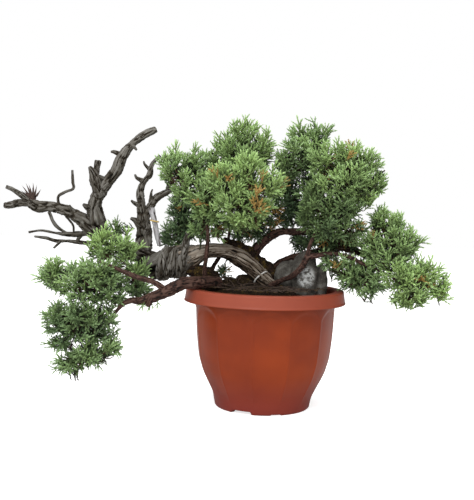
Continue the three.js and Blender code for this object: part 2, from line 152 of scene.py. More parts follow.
def ridged(points: np.ndarray, scale: float, octaves: int = 3, seed: int = 0) -> np.ndarray:
    """Noise folded at zero, so that it has sharp ridges near 1 and wide hollows near 0.

    Args:
        points: positions, last axis of three.
        scale: how many lumps per metre in the coarsest.
        octaves: how many sizes.
        seed: which pattern.

    Returns:
        One less the size of each layer's noise, added up and scaled to 0..1.
    """
    layers = range(octaves)
    folded = [(1 - np.abs(noise(points, scale * 2.1**k, seed + k))) * 0.5**k for k in layers]
    return sum(folded) / (2 - 0.5 ** (octaves - 1))


# ---------------------------------------------------------------- shader graph
class Value:
    """One output socket of a material's nodes, with arithmetic that adds Math nodes."""

    def __init__(self, graph: "Graph", socket: bpy.types.NodeSocket) -> None:
        """Keeps the socket and the graph that it belongs to.

        Args:
            graph: the graph.
            socket: one of its nodes' outputs.
        """
        self.graph = graph
        self.socket = socket

    def math(self, operation: str, *inputs: "Value | float") -> "Value":
        """Adds a Math node.

        Args:
            operation: the node's operation.
            inputs: numbers or values, in the node's order.

        Returns:
            Its result.
        """
        return self.graph.node("ShaderNodeMath", {"operation": operation}, dict(enumerate(inputs)))

    def __add__(self, other: "Value | float") -> "Value":
        """This plus other."""
        return self.math("ADD", self, other)

    __radd__ = __add__

    def __mul__(self, other: "Value | float") -> "Value":
        """This times other."""
        return self.math("MULTIPLY", self, other)

    __rmul__ = __mul__

    def __sub__(self, other: "Value | float") -> "Value":
        """This less other."""
        return self.math("SUBTRACT", self, other)

    def __rsub__(self, other: "Value | float") -> "Value":
        """Other less this."""
        return self.math("SUBTRACT", other, self)

    def step(self, low: float, high: float) -> "Value":
        """A soft step from 0 at low to 1 at high.

        Args:
            low: where the step starts.
            high: where it ends.

        Returns:
            The stepped value.
        """
        inputs = {"Value": self, "From Min": low, "From Max": high}
        return self.graph.node("ShaderNodeMapRange", {"interpolation_type": "SMOOTHSTEP"}, inputs, "Result")


class Graph:
    """A material under construction: a Principled shader and the nodes that feed it."""

    def __init__(self, name: str) -> None:
        """Starts an empty material with a Principled shader wired to its output.

        Args:
            name: the material's name.
        """
        self.material = bpy.data.materials.new(name)
        self.material.use_nodes = True
        self.nodes = self.material.node_tree.nodes
        self.links = self.material.node_tree.links
        self.nodes.clear()
        self.shader = self.nodes.new("ShaderNodeBsdfPrincipled")
        output = self.nodes.new("ShaderNodeOutputMaterial")
        self.links.new(self.shader.outputs[0], output.inputs[0])

    def node(self, kind: str, settings: dict, inputs: dict, output: "str | int" = 0) -> Value:
        """Adds a node.

        Args:
            kind: the node's type.
            settings: its properties, set before its sockets.
            inputs: a number, a tuple or a Value for each input, by name or place.
            output: the output to give back, by name or place.

        Returns:
            That output as a Value.
        """
        made = self.nodes.new(kind)
        for key, setting in settings.items():
            setattr(made, key, setting)
        for key, given in inputs.items():
            if isinstance(given, Value):
                self.links.new(given.socket, made.inputs[key])
            else:
                made.inputs[key].default_value = given
        return Value(self, made.outputs[output])

    def ramp(self, factor: Value, stops: Sequence[tuple[float, Colour]]) -> Value:
        """Adds a colour ramp.

        Args:
            factor: where to read it.
            stops: places and their colours, in order.

        Returns:
            The colour there.
        """
        result = self.node("ShaderNodeValToRGB", {}, {"Fac": factor}, "Color")
        elements = result.socket.node.color_ramp.elements
        for element, (place, colour) in ((elements[1], stops[-1]), (elements[0], stops[0])):
            element.position = place
            element.color = (*colour, 1)
        for place, colour in stops[1:-1]:
            elements.new(place).color = (*colour, 1)
        return result

    def mix(self, factor: "Value | float", first: "Value | Colour", second: "Value | Colour") -> Value:
        """Blends two colours.

        Args:
            factor: the second colour's share.
            first: the colour at 0.
            second: the colour at 1.

        Returns:
            The blend.
        """
        made = self.nodes.new("ShaderNodeMix")
        made.data_type = "RGBA"
        for place, given in ((0, factor), (6, first), (7, second)):
            if isinstance(given, Value):
                self.links.new(given.socket, made.inputs[place])
            else:
                made.inputs[place].default_value = (*given, 1) if place else given
        return Value(self, made.outputs[2])

    def place(self, scale: Sequence[float] = (1, 1, 1), grain: bool = False) -> Value:
        """Coordinates for a pattern.

        Args:
            scale: how much each axis is stretched.
            grain: whether to read the limb's own grain coordinates in place of the object's.

        Returns:
            The coordinates times the scale.
        """
        if grain:
            source = self.node("ShaderNodeAttribute", {"attribute_name": "grain"}, {}, "Vector")
        else:
            source = self.node("ShaderNodeTexCoord", {}, {}, "Object")
        return self.node("ShaderNodeMapping", {}, {"Vector": source, "Scale": tuple(scale)})

    def noise(self, place: Value, scale: float, detail: float = 4, roughness: float = 0.55) -> Value:
        """Adds a noise texture.

        Args:
            place: where to read it.
            scale: how many lumps per metre.
            detail: how many finer layers it has.
            roughness: how strong the finer layers are.

        Returns:
            The noise, in 0..1.
        """
        inputs = {"Vector": place, "Scale": scale, "Detail": detail, "Roughness": roughness}
        return self.node("ShaderNodeTexNoise", {}, inputs, 0)

    def attribute(self, name: str) -> Value:
        """Reads a number that the mesh carries at its points.

        Args:
            name: what the mesh calls it.

        Returns:
            The number.
        """
        return self.node("ShaderNodeAttribute", {"attribute_name": name}, {}, "Fac")

    def finish(self, colour: Value, roughness: "Value | float", height: "Value | None" = None,
               depth: float = 0.001, strength: float = 0.6, **constants: float) -> bpy.types.Material:
        """Wires the shader.

        Args:
            colour: base colour.
            roughness: a number, or a Value where it varies.
            height: bump height in 0..1, or none.
            depth: bump depth in metres.
            strength: how strongly the bump shows.
            constants: other shader inputs, set directly, with spaces written as underscores.

        Returns:
            The finished material.
        """
        self.links.new(colour.socket, self.shader.inputs["Base Color"])
        if isinstance(roughness, Value):
            self.links.new(roughness.socket, self.shader.inputs["Roughness"])
        else:
            self.shader.inputs["Roughness"].default_value = roughness
        if height is not None:
            inputs = {"Height": height, "Distance": depth, "Strength": strength}
            bump = self.node("ShaderNodeBump", {}, inputs)
            self.links.new(bump.socket, self.shader.inputs["Normal"])
        for key, number in constants.items():
            self.shader.inputs[key.replace("_", " ")].default_value = number
        return self.material


# ---------------------------------------------------------------- finishes
class Slot(Enum):
    """The record's material slots."""

    POT = "terracotta_plastic"
    DEAD_WOOD = "dead_wood"
    LIVE_BARK = "live_bark"
    BLEACHED = "bleached_bark"
    STONE = "grey_stone"
    PALE_STONE = "pale_stone"
    SOIL = "soil"
    MOSS = "moss"
    TIE = "white_tie"
    RAFFIA = "raffia"
    FOLIAGE = "foliage"


@dataclass(frozen=True)
class PotPlastic:
    """Moulded red-brown plastic: faint streaks, scuffs and specks of dust, a painted floor reflection that
    turns it duller and purple-grey towards the foot, and a painted highlight with dust on the rim.
    """

    warm: Colour = (0.250, 0.036, 0.006)
    deep: Colour = (0.190, 0.026, 0.006)
    # dust with a painted highlight on the rim, then a painted reflection of the floor near the foot
    dust_and_highlight: Colour = (0.290, 0.072, 0.046)
    floor_reflection: Colour = (0.175, 0.027, 0.022)
    rim_height: float = 0.163
    floor_reflection_height: float = 0.07

    def build(self) -> bpy.types.Material:
        """Wires the finish.

        Returns:
            The material.
        """
        g = Graph("moulded_plastic")
        cloud = g.noise(g.place(), 9, 3)
        streak = g.noise(g.place((1, 1, 0.16)), 130, 4)
        speck = g.noise(g.place(), 900, 2, 0.7)
        height = g.node("ShaderNodeSeparateXYZ", {}, {"Vector": g.place()}, "Z")
        base = g.mix(cloud.step(0.35, 0.65), self.deep, self.warm)
        base = g.mix(streak.step(0.45, 0.8) * 0.2, base, self.warm)
        # painted reflection of the floor: duller and purple-grey towards the foot
        low = 1 - height.step(0.0, self.floor_reflection_height)
        base = g.mix(low * 0.75, base, self.floor_reflection)
        # the rim's lighter band is a painted highlight with dust on it; the fine specks are dust
        rim = height.step(self.rim_height, self.rim_height + 0.002)
        dust_and_rim_highlight = rim * (cloud * 0.4 + 0.45) + speck.step(0.62, 0.8) * 0.10
        base = g.mix(dust_and_rim_highlight, base, self.dust_and_highlight)
        rough = 0.30 + cloud * 0.12 + streak.step(0.5, 0.8) * 0.10 + low * 0.08
        relief = streak * 0.6 + speck * 0.4
        return g.finish(base, rough, relief, 0.0002, 0.25, Specular_IOR_Level=0.16)


@dataclass(frozen=True)
class DeadWoodFinish:
    """Weathered wood: pale grey ridges along the grain, dark grooves between with painted shade in the
    deepest, brown stain, and painted shade on the faces that look down.
    """

    groove: Colour = (0.003, 0.002, 0.001)
    brown: Colour = (0.026, 0.019, 0.011)
    grey: Colour = (0.058, 0.050, 0.038)
    pale: Colour = (0.22, 0.21, 0.19)
    # how much darker the faces that look down are: painted shade
    underside_shade: float = 0.08

    def build(self) -> bpy.types.Material:
        """Wires the finish.

        Returns:
            The material.
        """
        g = Graph("weathered_wood")
        fibre = g.noise(g.place((1, 1, 0.07), grain=True), 620, 5, 0.6)
        patch = g.noise(g.place((1, 1, 0.35), grain=True), 70, 3)
        hollow = g.attribute("hollow")
        facing = g.node("ShaderNodeNewGeometry", {}, {}, "Normal")
        upward = g.node("ShaderNodeSeparateXYZ", {}, {"Vector": facing}, "Z")
        # painted shade: faces that look down are darker
        under = (upward * -1).step(-0.05, 0.85)
        # hollow darkens the deepest grooves: painted shade
        level = fibre * 0.55 + patch * 0.45 - hollow * 0.42 - under * self.underside_shade + 0.12
        stops = ((0.22, self.groove), (0.36, self.brown), (0.52, self.grey), (0.74, self.pale))
        base = g.ramp(level, stops)
        return g.finish(base, 0.88, fibre, 0.0009, 0.8, Specular_IOR_Level=0.2)


@dataclass(frozen=True)
class TrunkFinish(DeadWoodFinish):
    """The trunk's dead wood, polished paler and warmer by weather than the limbs."""

    brown: Colour = (0.040, 0.024, 0.014)
    grey: Colour = (0.120, 0.090, 0.064)
    pale: Colour = (0.42, 0.37, 0.31)
    # stronger painted shade on the faces that look down
    underside_shade: float = 0.30


@dataclass(frozen=True)
class BleachedFinish(DeadWoodFinish):
    """Bark bleached to a pale bluish grey."""

    groove: Colour = (0.045, 0.040, 0.040)
    brown: Colour = (0.17, 0.15, 0.14)
    grey: Colour = (0.34, 0.33, 0.34)
    pale: Colour = (0.58, 0.57, 0.58)


@dataclass(frozen=True)
class BarkFinish:
    """Stringy red-brown bark with darker cracks, painted shade in the deepest grooves, and greyer
    lifted flakes.
    """

    crack: Colour = (0.005, 0.003, 0.002)
    red: Colour = (0.038, 0.016, 0.011)
    flake: Colour = (0.130, 0.074, 0.056)

    def build(self) -> bpy.types.Material:
        """Wires the finish.

        Returns:
            The material.
        """
        g = Graph("live_bark")
        fibre = g.noise(g.place((1, 1, 0.16), grain=True), 520, 5, 0.65)
        patch = g.noise(g.place((1, 1, 0.4), grain=True), 95, 3)
        hollow = g.attribute("hollow")
        # hollow darkens the deepest grooves: painted shade
        level = fibre * 0.6 + patch * 0.4 - hollow * 0.35 + 0.06
        base = g.ramp(level, ((0.26, self.crack), (0.46, self.red), (0.72, self.flake)))
        return g.finish(base, 0.8, fibre, 0.0008, 0.8, Specular_IOR_Level=0.25)


@dataclass(frozen=True)
class MossyBarkFinish:
    """Dark rough bark with olive and ochre moss in patches."""

    dark: Colour = (0.006, 0.004, 0.003)
    brown: Colour = (0.036, 0.021, 0.014)
    moss: Colour = (0.125, 0.082, 0.018)

    def build(self) -> bpy.types.Material:
        """Wires the finish.

        Returns:
            The material.
        """
        g = Graph("mossy_bark")
        lump = g.noise(g.place(), 420, 5, 0.65)
        patch = g.noise(g.place(), 60, 3)
        base = g.mix(lump.step(0.35, 0.7), self.dark, self.brown)
        base = g.mix(patch.step(0.48, 0.62) * lump.step(0.4, 0.6), base, self.moss)
        return g.finish(base, 0.95, lump, 0.0015, 0.9, Specular_IOR_Level=0.15)


@dataclass(frozen=True)
class StoneFinish:
    """Grey stone with dark stains and, where the mesh says so, bright quartz veins."""

    stain: Colour = (0.012, 0.009, 0.007)
    body: Colour = (0.070, 0.064, 0.054)
    light: Colour = (0.19, 0.185, 0.165)
    quartz: Colour = (0.46, 0.47, 0.46)

    def build(self) -> bpy.types.Material:
        """Wires the finish.

        Returns:
            The material.
        """
        g = Graph("grey_stone")
        grain = g.noise(g.place(), 700, 5, 0.65)
        patch = g.noise(g.place(), 75, 4, 0.6)
        base = g.ramp(patch * 0.6 + grain * 0.4, ((0.34, self.stain), (0.5, self.body), (0.68, self.light)))
        vein = g.attribute("quartz") * g.noise(g.place(), 190, 4, 0.7).step(0.42, 0.58)
        base = g.mix(vein, base, self.quartz)
        return g.finish(base, 0.82, grain, 0.0008, 0.7, Specular_IOR_Level=0.35)


@dataclass(frozen=True)
class PebbleFinish:
    """A water-worn pebble, pinkish white with faint darker clouds."""

    light: Colour = (0.72, 0.60, 0.52)
    cloud: Colour = (0.45, 0.33, 0.27)

    def build(self) -> bpy.types.Material:
        """Wires the finish.

        Returns:
            The material.
        """
        g = Graph("pale_pebble")
        patch = g.noise(g.place(), 600, 4)
        base = g.mix(patch.step(0.4, 0.65), self.light, self.cloud)
        return g.finish(base, 0.6, patch, 0.0003, 0.4)


@dataclass(frozen=True)
class GroundFinish:
    """Crumbly ground: three tones mixed by fine noise."""

    name: str
    dark: Colour
    middle: Colour
    light: Colour
    grain_scale: float = 800

    def build(self) -> bpy.types.Material:
        """Wires the finish.

        Returns:
            The material.
        """
        g = Graph(self.name)
        grain = g.noise(g.place(), self.grain_scale, 4, 0.7)
        patch = g.noise(g.place(), 110, 3)
        base = g.ramp(grain * 0.6 + patch * 0.4, ((0.36, self.dark), (0.52, self.middle), (0.68, self.light)))
        return g.finish(base, 0.95, grain, 0.0012, 0.9, Specular_IOR_Level=0.15)


@dataclass(frozen=True)
class FibreFinish:
    """A smooth cord or a dry strand: one colour with fine streaks along it."""

    name: str
    dark: Colour
    light: Colour
    roughness: float

    def build(self) -> bpy.types.Material:
        """Wires the finish.

        Returns:
            The material.
        """
        g = Graph(self.name)
        streak = g.noise(g.place((1, 1, 0.1), grain=True), 1500, 3)
        base = g.mix(streak.step(0.35, 0.65), self.dark, self.light)
        return g.finish(base, self.roughness, streak, 0.0002, 0.5)


@dataclass(frozen=True)
class FoliageFinish:
    """Juniper needles, coloured from the mesh's own map.

    Across the map is tone, from blue-green shade to sunlit yellow-green, and the last stretch is dead
    and orange. Up the map is age, scaled down by each spray's painted shade: brown twig, dark old
    needles, green, then pale tips.
    """

    dead_from: float = 0.9
    twig: Colour = (0.060, 0.030, 0.018)
    shade: tuple[Colour, ...] = (
        (0.014, 0.024, 0.012), (0.085, 0.145, 0.070), (0.240, 0.370, 0.195), (0.48, 0.64, 0.42),
    )
    sun: tuple[Colour, ...] = (
        (0.046, 0.062, 0.014), (0.250, 0.360, 0.098), (0.55, 0.80, 0.29), (0.80, 0.96, 0.58),
    )
    dead: Colour = (0.42, 0.23, 0.07)

    def build(self) -> bpy.types.Material:
        """Wires the finish.

        Returns:
            The material.
        """
        g = Graph("juniper_needles")
        chart = g.node("ShaderNodeUVMap", {"uv_map": "OFBake"}, {})
        tone = g.node("ShaderNodeSeparateXYZ", {}, {"Vector": chart}, "X")
        age = g.node("ShaderNodeSeparateXYZ", {}, {"Vector": chart}, "Y")
        places = (0.14, 0.40, 0.72, 1.0)
        shade = g.ramp(age, ((0.10, self.twig), *zip(places, self.shade)))
        sun = g.ramp(age, ((0.10, self.twig), *zip(places, self.sun)))
        base = g.mix(tone * (1 / self.dead_from), shade, sun)
        withered = tone.step(self.dead_from, self.dead_from + 0.04) * age.step(0.12, 0.2)
        base = g.mix(withered * 0.85, base, self.dead)
        return g.finish(base, 0.52, Specular_IOR_Level=0.32)


# ---------------------------------------------------------------- meshes
@dataclass
class Surface:
    """Points, faces and what the points carry, collected before it becomes a piece."""

    points: np.ndarray
    quads: np.ndarray
    triangles: np.ndarray = field(default_factory=lambda: np.zeros((0, 3), np.int64))
    carried: dict[str, np.ndarray] = field(default_factory=dict)
    material: "np.ndarray | None" = None

    @staticmethod
    def joined(parts: "Sequence[Surface]") -> "Surface":
        """Several surfaces as one, each keeping its own shell and what it carries.

        Args:
            parts: the surfaces.

        Returns:
            One surface, with noughts where a part carries nothing by a name.
        """
        starts = np.cumsum([0] + [len(p.points) for p in parts[:-1]])
        names = set().union(*(p.carried for p in parts))
        carried = {}
        for name in sorted(names):
            shape = next(p.carried[name].shape[1:] for p in parts if name in p.carried)
            blank = [p.carried.get(name, np.zeros((len(p.points), *shape))) for p in parts]
            carried[name] = np.concatenate(blank)
        return Surface(
            np.concatenate([p.points for p in parts]),
            np.concatenate([p.quads + s for p, s in zip(parts, starts)]),
            np.concatenate([p.triangles + s for p, s in zip(parts, starts)]),
            carried,
        )

    def piece(self, name: str, slot: Slot, finish: bpy.types.Material, nodes: Sequence[str],
              smooth: bool = True) -> bpy.types.Object:
        """Makes the Blender object, puts it on the body and lets it stand for its CAD nodes.

        Args:
            name: the piece's name.
            slot: the record's slot for it; not used.
            finish: its material.
            nodes: the CAD nodes that it replaces.
            smooth: whether its faces are shaded smooth.

        Returns:
            The object, at the origin, with its place in its mesh.
        """
        mesh = bpy.data.meshes.new(name)
        corners = np.concatenate([self.quads.ravel(), self.triangles.ravel()])
        sizes = np.concatenate([np.full(len(self.quads), 4), np.full(len(self.triangles), 3)])
        mesh.vertices.add(len(self.points))
        mesh.vertices.foreach_set("co", self.points.astype(np.float32).ravel())
        mesh.loops.add(len(corners))
        mesh.loops.foreach_set("vertex_index", corners.astype(np.int32))
        mesh.polygons.add(len(sizes))
        mesh.polygons.foreach_set("loop_start", np.concatenate([[0], np.cumsum(sizes)[:-1]]).astype(np.int32))
        mesh.polygons.foreach_set("use_smooth", np.full(len(sizes), smooth))
        for key, numbers in self.carried.items():
            if key == "OFBake":
                layer = mesh.uv_layers.new(name=key)
                layer.uv.foreach_set("vector", numbers[corners].astype(np.float32).ravel())
            elif numbers.ndim == 2:
                layer = mesh.attributes.new(key, "FLOAT_VECTOR", "POINT")
                layer.data.foreach_set("vector", numbers.astype(np.float32).ravel())
            else:
                layer = mesh.attributes.new(key, "FLOAT", "POINT")
                layer.data.foreach_set("value", numbers.astype(np.float32))
        mesh.update()
        mesh.validate()
        mesh.materials.append(finish)
        made = bpy.data.objects.new(name, mesh)
        bpy.context.scene.collection.objects.link(made)
        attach(made, "root")
        if nodes:
            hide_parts(*nodes)
        log.info("%s: %d faces", name, len(sizes))
        return made


def grid_faces(rows: int, columns: int, start: int = 0) -> np.ndarray:
    """Quads of a grid whose columns close on themselves, rows running along, faces outward.

    Point i, j of the grid is number i * columns + j, counted from start.

    Args:
        rows: how many rows of points.
        columns: how many points in a row.
        start: the first point's number.

    Returns:
        Four point numbers for each face.
    """
    i, j = np.meshgrid(np.arange(rows - 1), np.arange(columns), indexing="ij")
    k = (j + 1) % columns
    corners = [i * columns + j, i * columns + k, (i + 1) * columns + k, (i + 1) * columns + j]
    return np.stack(corners, axis=-1).reshape(-1, 4) + start


def fan_faces(pole: int, first: int, columns: int, outward: bool) -> np.ndarray:
    """Triangles from a pole to a closed row of points.

    Args:
        pole: the pole's number.
        first: the number of the row's first point.
        columns: how many points the row has.
        outward: whether the pole is at the end that the rows start from.

    Returns:
        Three point numbers for each face, turned to face outward at that end.
    """
    j = np.arange(columns)
    k = (j + 1) % columns
    order = [first + k, first + j] if outward else [first + j, first + k]
    return np.stack([np.full(columns, pole), *order], axis=-1)


def centreline(route: np.ndarray, step: float) -> tuple[np.ndarray, np.ndarray, np.ndarray]:
    """A smooth line through a route's points.

    Each stretch is a Catmull-Rom curve: a cubic through its two points, with the slope at each taken
    from the points on either side. It is then walked in even steps.

    Args:
        route: points in metres with a fourth number that varies along, the radius.
        step: distance between the points given back.

    Returns:
        Points, the fourth number and the distance along, at each step.
    """
    padded = np.vstack([2 * route[0] - route[1], route, 2 * route[-1] - route[-2]])
    fine = np.linspace(0, len(route) - 1 - 1e-9, 40 * (len(route) - 1))
    i = np.floor(fine).astype(int)
    t = (fine - i)[:, None]
    a, b, c, d = (padded[i + k] for k in range(4))
    curve = 0.5 * (2 * b + (c - a) * t + (2 * a - 5 * b + 4 * c - d) * t**2 + (3 * b - a - 3 * c + d) * t**3)
    walked = np.concatenate([[0], np.cumsum(np.linalg.norm(np.diff(curve[:, :3], axis=0), axis=1))])
    count = max(4, int(walked[-1] / step))
    along = np.linspace(0, walked[-1], count + 1)
    even = np.stack([np.interp(along, walked, curve[:, k]) for k in range(4)], axis=1)
    return even[:, :3], np.maximum(even[:, 3], 1e-5), along


def turning_frame(line: np.ndarray) -> tuple[np.ndarray, np.ndarray, np.ndarray]:
    """Directions along and across a line, carried along it without twisting.

    Args:
        line: its points.

    Returns:
        At each point the direction ahead, and two across it. The first of the two is the one before
        it with its share along the line taken off.
    """
    ahead = unit(np.gradient(line, axis=0))
    side = np.zeros_like(ahead)
    start = np.cross(ahead[0], UP if abs(ahead[0][2]) < 0.9 else np.array([1.0, 0, 0]))
    side[0] = start / np.linalg.norm(start)
    for i in range(1, len(line)):
        carried = side[i - 1] - ahead[i] * np.dot(side[i - 1], ahead[i])
        side[i] = carried / np.linalg.norm(carried)
    return ahead, side, np.cross(ahead, side)


@dataclass(frozen=True)
class Wood:
    """How a limb's surface is shaped: grooves that run and twist along it, lumps and rough ends."""

    groove_depth: float = 0.24
    grooves: float = 2.2
    stretch: float = 0.12
    twist: float = 6.0
    lump: float = 0.14
    lump_scale: float = 45.0
    fine: float = 0.05
    fine_scale: float = 420.0
    seed: int = 0


@dataclass
class Limb:
    """One tapered limb with a woody surface."""

    route: Route
    wood: Wood
    ring_step: float = 0.0016
    around: int = 40
    ragged: float = 0.5

    def surface(self) -> Surface:
        """The limb's closed surface.

        Each ring is the centre plus the radius in every direction across the line. The radius is the
        route's, times one plus slow lumps, less grooves that are ridged noise stretched along the limb
        and turned steadily about it. The ends close in two short rings and a pole.

        Returns:
            The surface, carrying grain coordinates and how hollow each point is.
        """
        line, radius, along = centreline(np.array(self.route, float) * MM, self.ring_step)
        ahead, side, across = turning_frame(line)
        angle = np.arange(self.around) * TURN / self.around
        mean = radius.mean()
        wood = self.wood
        turned = angle[None, :] + along[:, None] * wood.twist
        drawn = along[:, None] / mean * wood.stretch + 0 * turned
        spin = np.stack([np.cos(turned), np.sin(turned), drawn], axis=-1)
        ridge = ridged(spin, wood.grooves, 3, wood.seed)
        hollow = smoothstep(0.70, 0.93, ridge)
        spread = np.cos(angle)[None, :, None] * side[:, None] + np.sin(angle)[None, :, None] * across[:, None]
        bare = line[:, None] + spread * radius[:, None, None]
        lumps = fractal(bare, wood.lump_scale, 2, wood.seed + 11) * wood.lump
        fine = fractal(bare, wood.fine_scale, 3, wood.seed + 23) * wood.fine
        scale = 1 + lumps + fine + wood.groove_depth * (0.2 - hollow)
        rings = line[:, None] + spread * (radius[:, None] * scale)[..., None]
        ends = []
        for at, sign in ((0, -1.0), (-1, 1.0)):
            rim = rings[at] - line[at]
            jag = noise(spread[at] * 3 + at, 1.0, wood.seed + 31) * self.ragged
            lift = ahead[at] * sign * radius[at]
            first = line[at] + rim * 0.86 + lift * (0.22 + 0.5 * jag[:, None])
            second = line[at] + rim * 0.45 + lift * (0.30 + 0.3 * jag[:, None])
            pole = line[at] + lift * 0.28
            ends.append((first, second, pole))
        rows = np.concatenate([ends[0][1][None], ends[0][0][None], rings, ends[1][0][None], ends[1][1][None]])
        index = np.clip(np.arange(len(rows)) - 2, 0, len(line) - 1)
        grain = np.stack([np.cos(turned) * mean, np.sin(turned) * mean, along[:, None] + 0 * turned], axis=-1)
        return shell(rows, ends[0][2], ends[1][2], {"grain": grain[index], "hollow": hollow[index]})


def shell(rings: np.ndarray, first: np.ndarray, last: np.ndarray,
          carried: "dict[str, np.ndarray] | None" = None) -> Surface:
    """A closed surface through rows of points that each close on themselves.

    Args:
        rings: rows x columns x 3 points, columns counterclockwise as seen from where the rows go.
        first: the pole that closes the first row.
        last: the pole that closes the last row.
        carried: numbers for every point, rows x columns, repeated at the poles from their rows.

    Returns:
        The surface, facing outward.
    """
    rows, columns = rings.shape[:2]
    total = rows * columns
    caps = [fan_faces(total, 0, columns, True), fan_faces(total + 1, total - columns, columns, False)]
    flat = {
        key: np.concatenate([n.reshape(total, *n.shape[2:]), n[0, :1], n[-1, :1]])
        for key, n in (carried or {}).items()
    }
    points = np.concatenate([rings.reshape(-1, 3), [first], [last]])
    return Surface(points, grid_faces(rows, columns), np.concatenate(caps), flat)


def ball(centre: np.ndarray, size: np.ndarray, rows: int = 48) -> np.ndarray:
    """Rows of points of a stretched sphere, without its poles, from below to above.

    Args:
        centre: its middle.
        size: its half size on each axis.
        rows: how many rows; each has twice as many points.

    Returns:
        Rows x columns x 3 points: the sines and cosines of rise and turn, times the half size.
    """
    rise = np.linspace(-math.pi / 2, math.pi / 2, rows + 2)[1:-1, None]
    round_ = np.linspace(0, TURN, 2 * rows, endpoint=False)[None, :]
    flat = np.cos(rise)
    unit_ball = np.stack([flat * np.cos(round_), flat * np.sin(round_), np.sin(rise) + 0 * round_], axis=-1)
    return centre + unit_ball * size


def rods(starts: np.ndarray, bends: np.ndarray, ends: np.ndarray, thick: np.ndarray, thin: np.ndarray,
         rings: int = 5, sides: int = 4) -> Surface:
    """Many thin bent rods at once.

    Each follows (1-s)^2 start + 2s(1-s) bend + s^2 end, with a round section that goes evenly from thick
    to thin, and flat ends.

    Args:
        starts: a point for each rod.
        bends: the point that each rod leans towards.
        ends: where each rod stops.
        thick: radius at the start of each.
        thin: radius at its end.
        rings: sections along each rod.
        sides: corners of each section.

    Returns:
        All the rods as one surface, carrying grain coordinates.
    """
    count = len(starts)
    s = np.linspace(0, 1, rings)[None, :, None]
    a, b, c = starts[:, None], bends[:, None], ends[:, None]
    line = (1 - s) ** 2 * a + 2 * s * (1 - s) * b + s**2 * c
    ahead = unit(2 * (1 - s) * (b - a) + 2 * s * (c - b) + 1e-9)
    reference = np.where(np.abs(ahead[..., 2:]) < 0.8, UP, np.array([1.0, 0, 0]))
    side = unit(np.cross(ahead, reference))
    across = np.cross(ahead, side)
    angle = np.arange(sides) * TURN / sides
    radius = (thick[:, None] + (thin - thick)[:, None] * s[..., 0])[..., None, None]
    spread = np.cos(angle)[:, None] * side[:, :, None] + np.sin(angle)[:, None] * across[:, :, None]
    points = (line[:, :, None] + spread * radius).reshape(-1, 3)
    size = rings * sides
    offsets = (np.arange(count) * size)[:, None, None]
    quads = (grid_faces(rings, sides)[None] + offsets).reshape(-1, 4)
    j = np.arange(1, sides - 1)
    low = np.stack([0 * j, j + 1, j], axis=-1)
    high = np.stack([0 * j, j, j + 1], axis=-1) + size - sides
    caps = (np.concatenate([low, high])[None] + offsets).reshape(-1, 3)
    length = np.linalg.norm(ends - starts, axis=1)[:, None, None]
    grain = np.stack(np.broadcast_arrays(np.cos(angle) * MM, np.sin(angle) * MM, s * length), axis=-1)
    return Surface(points, quads, caps, {"grain": grain.reshape(-1, 3)})


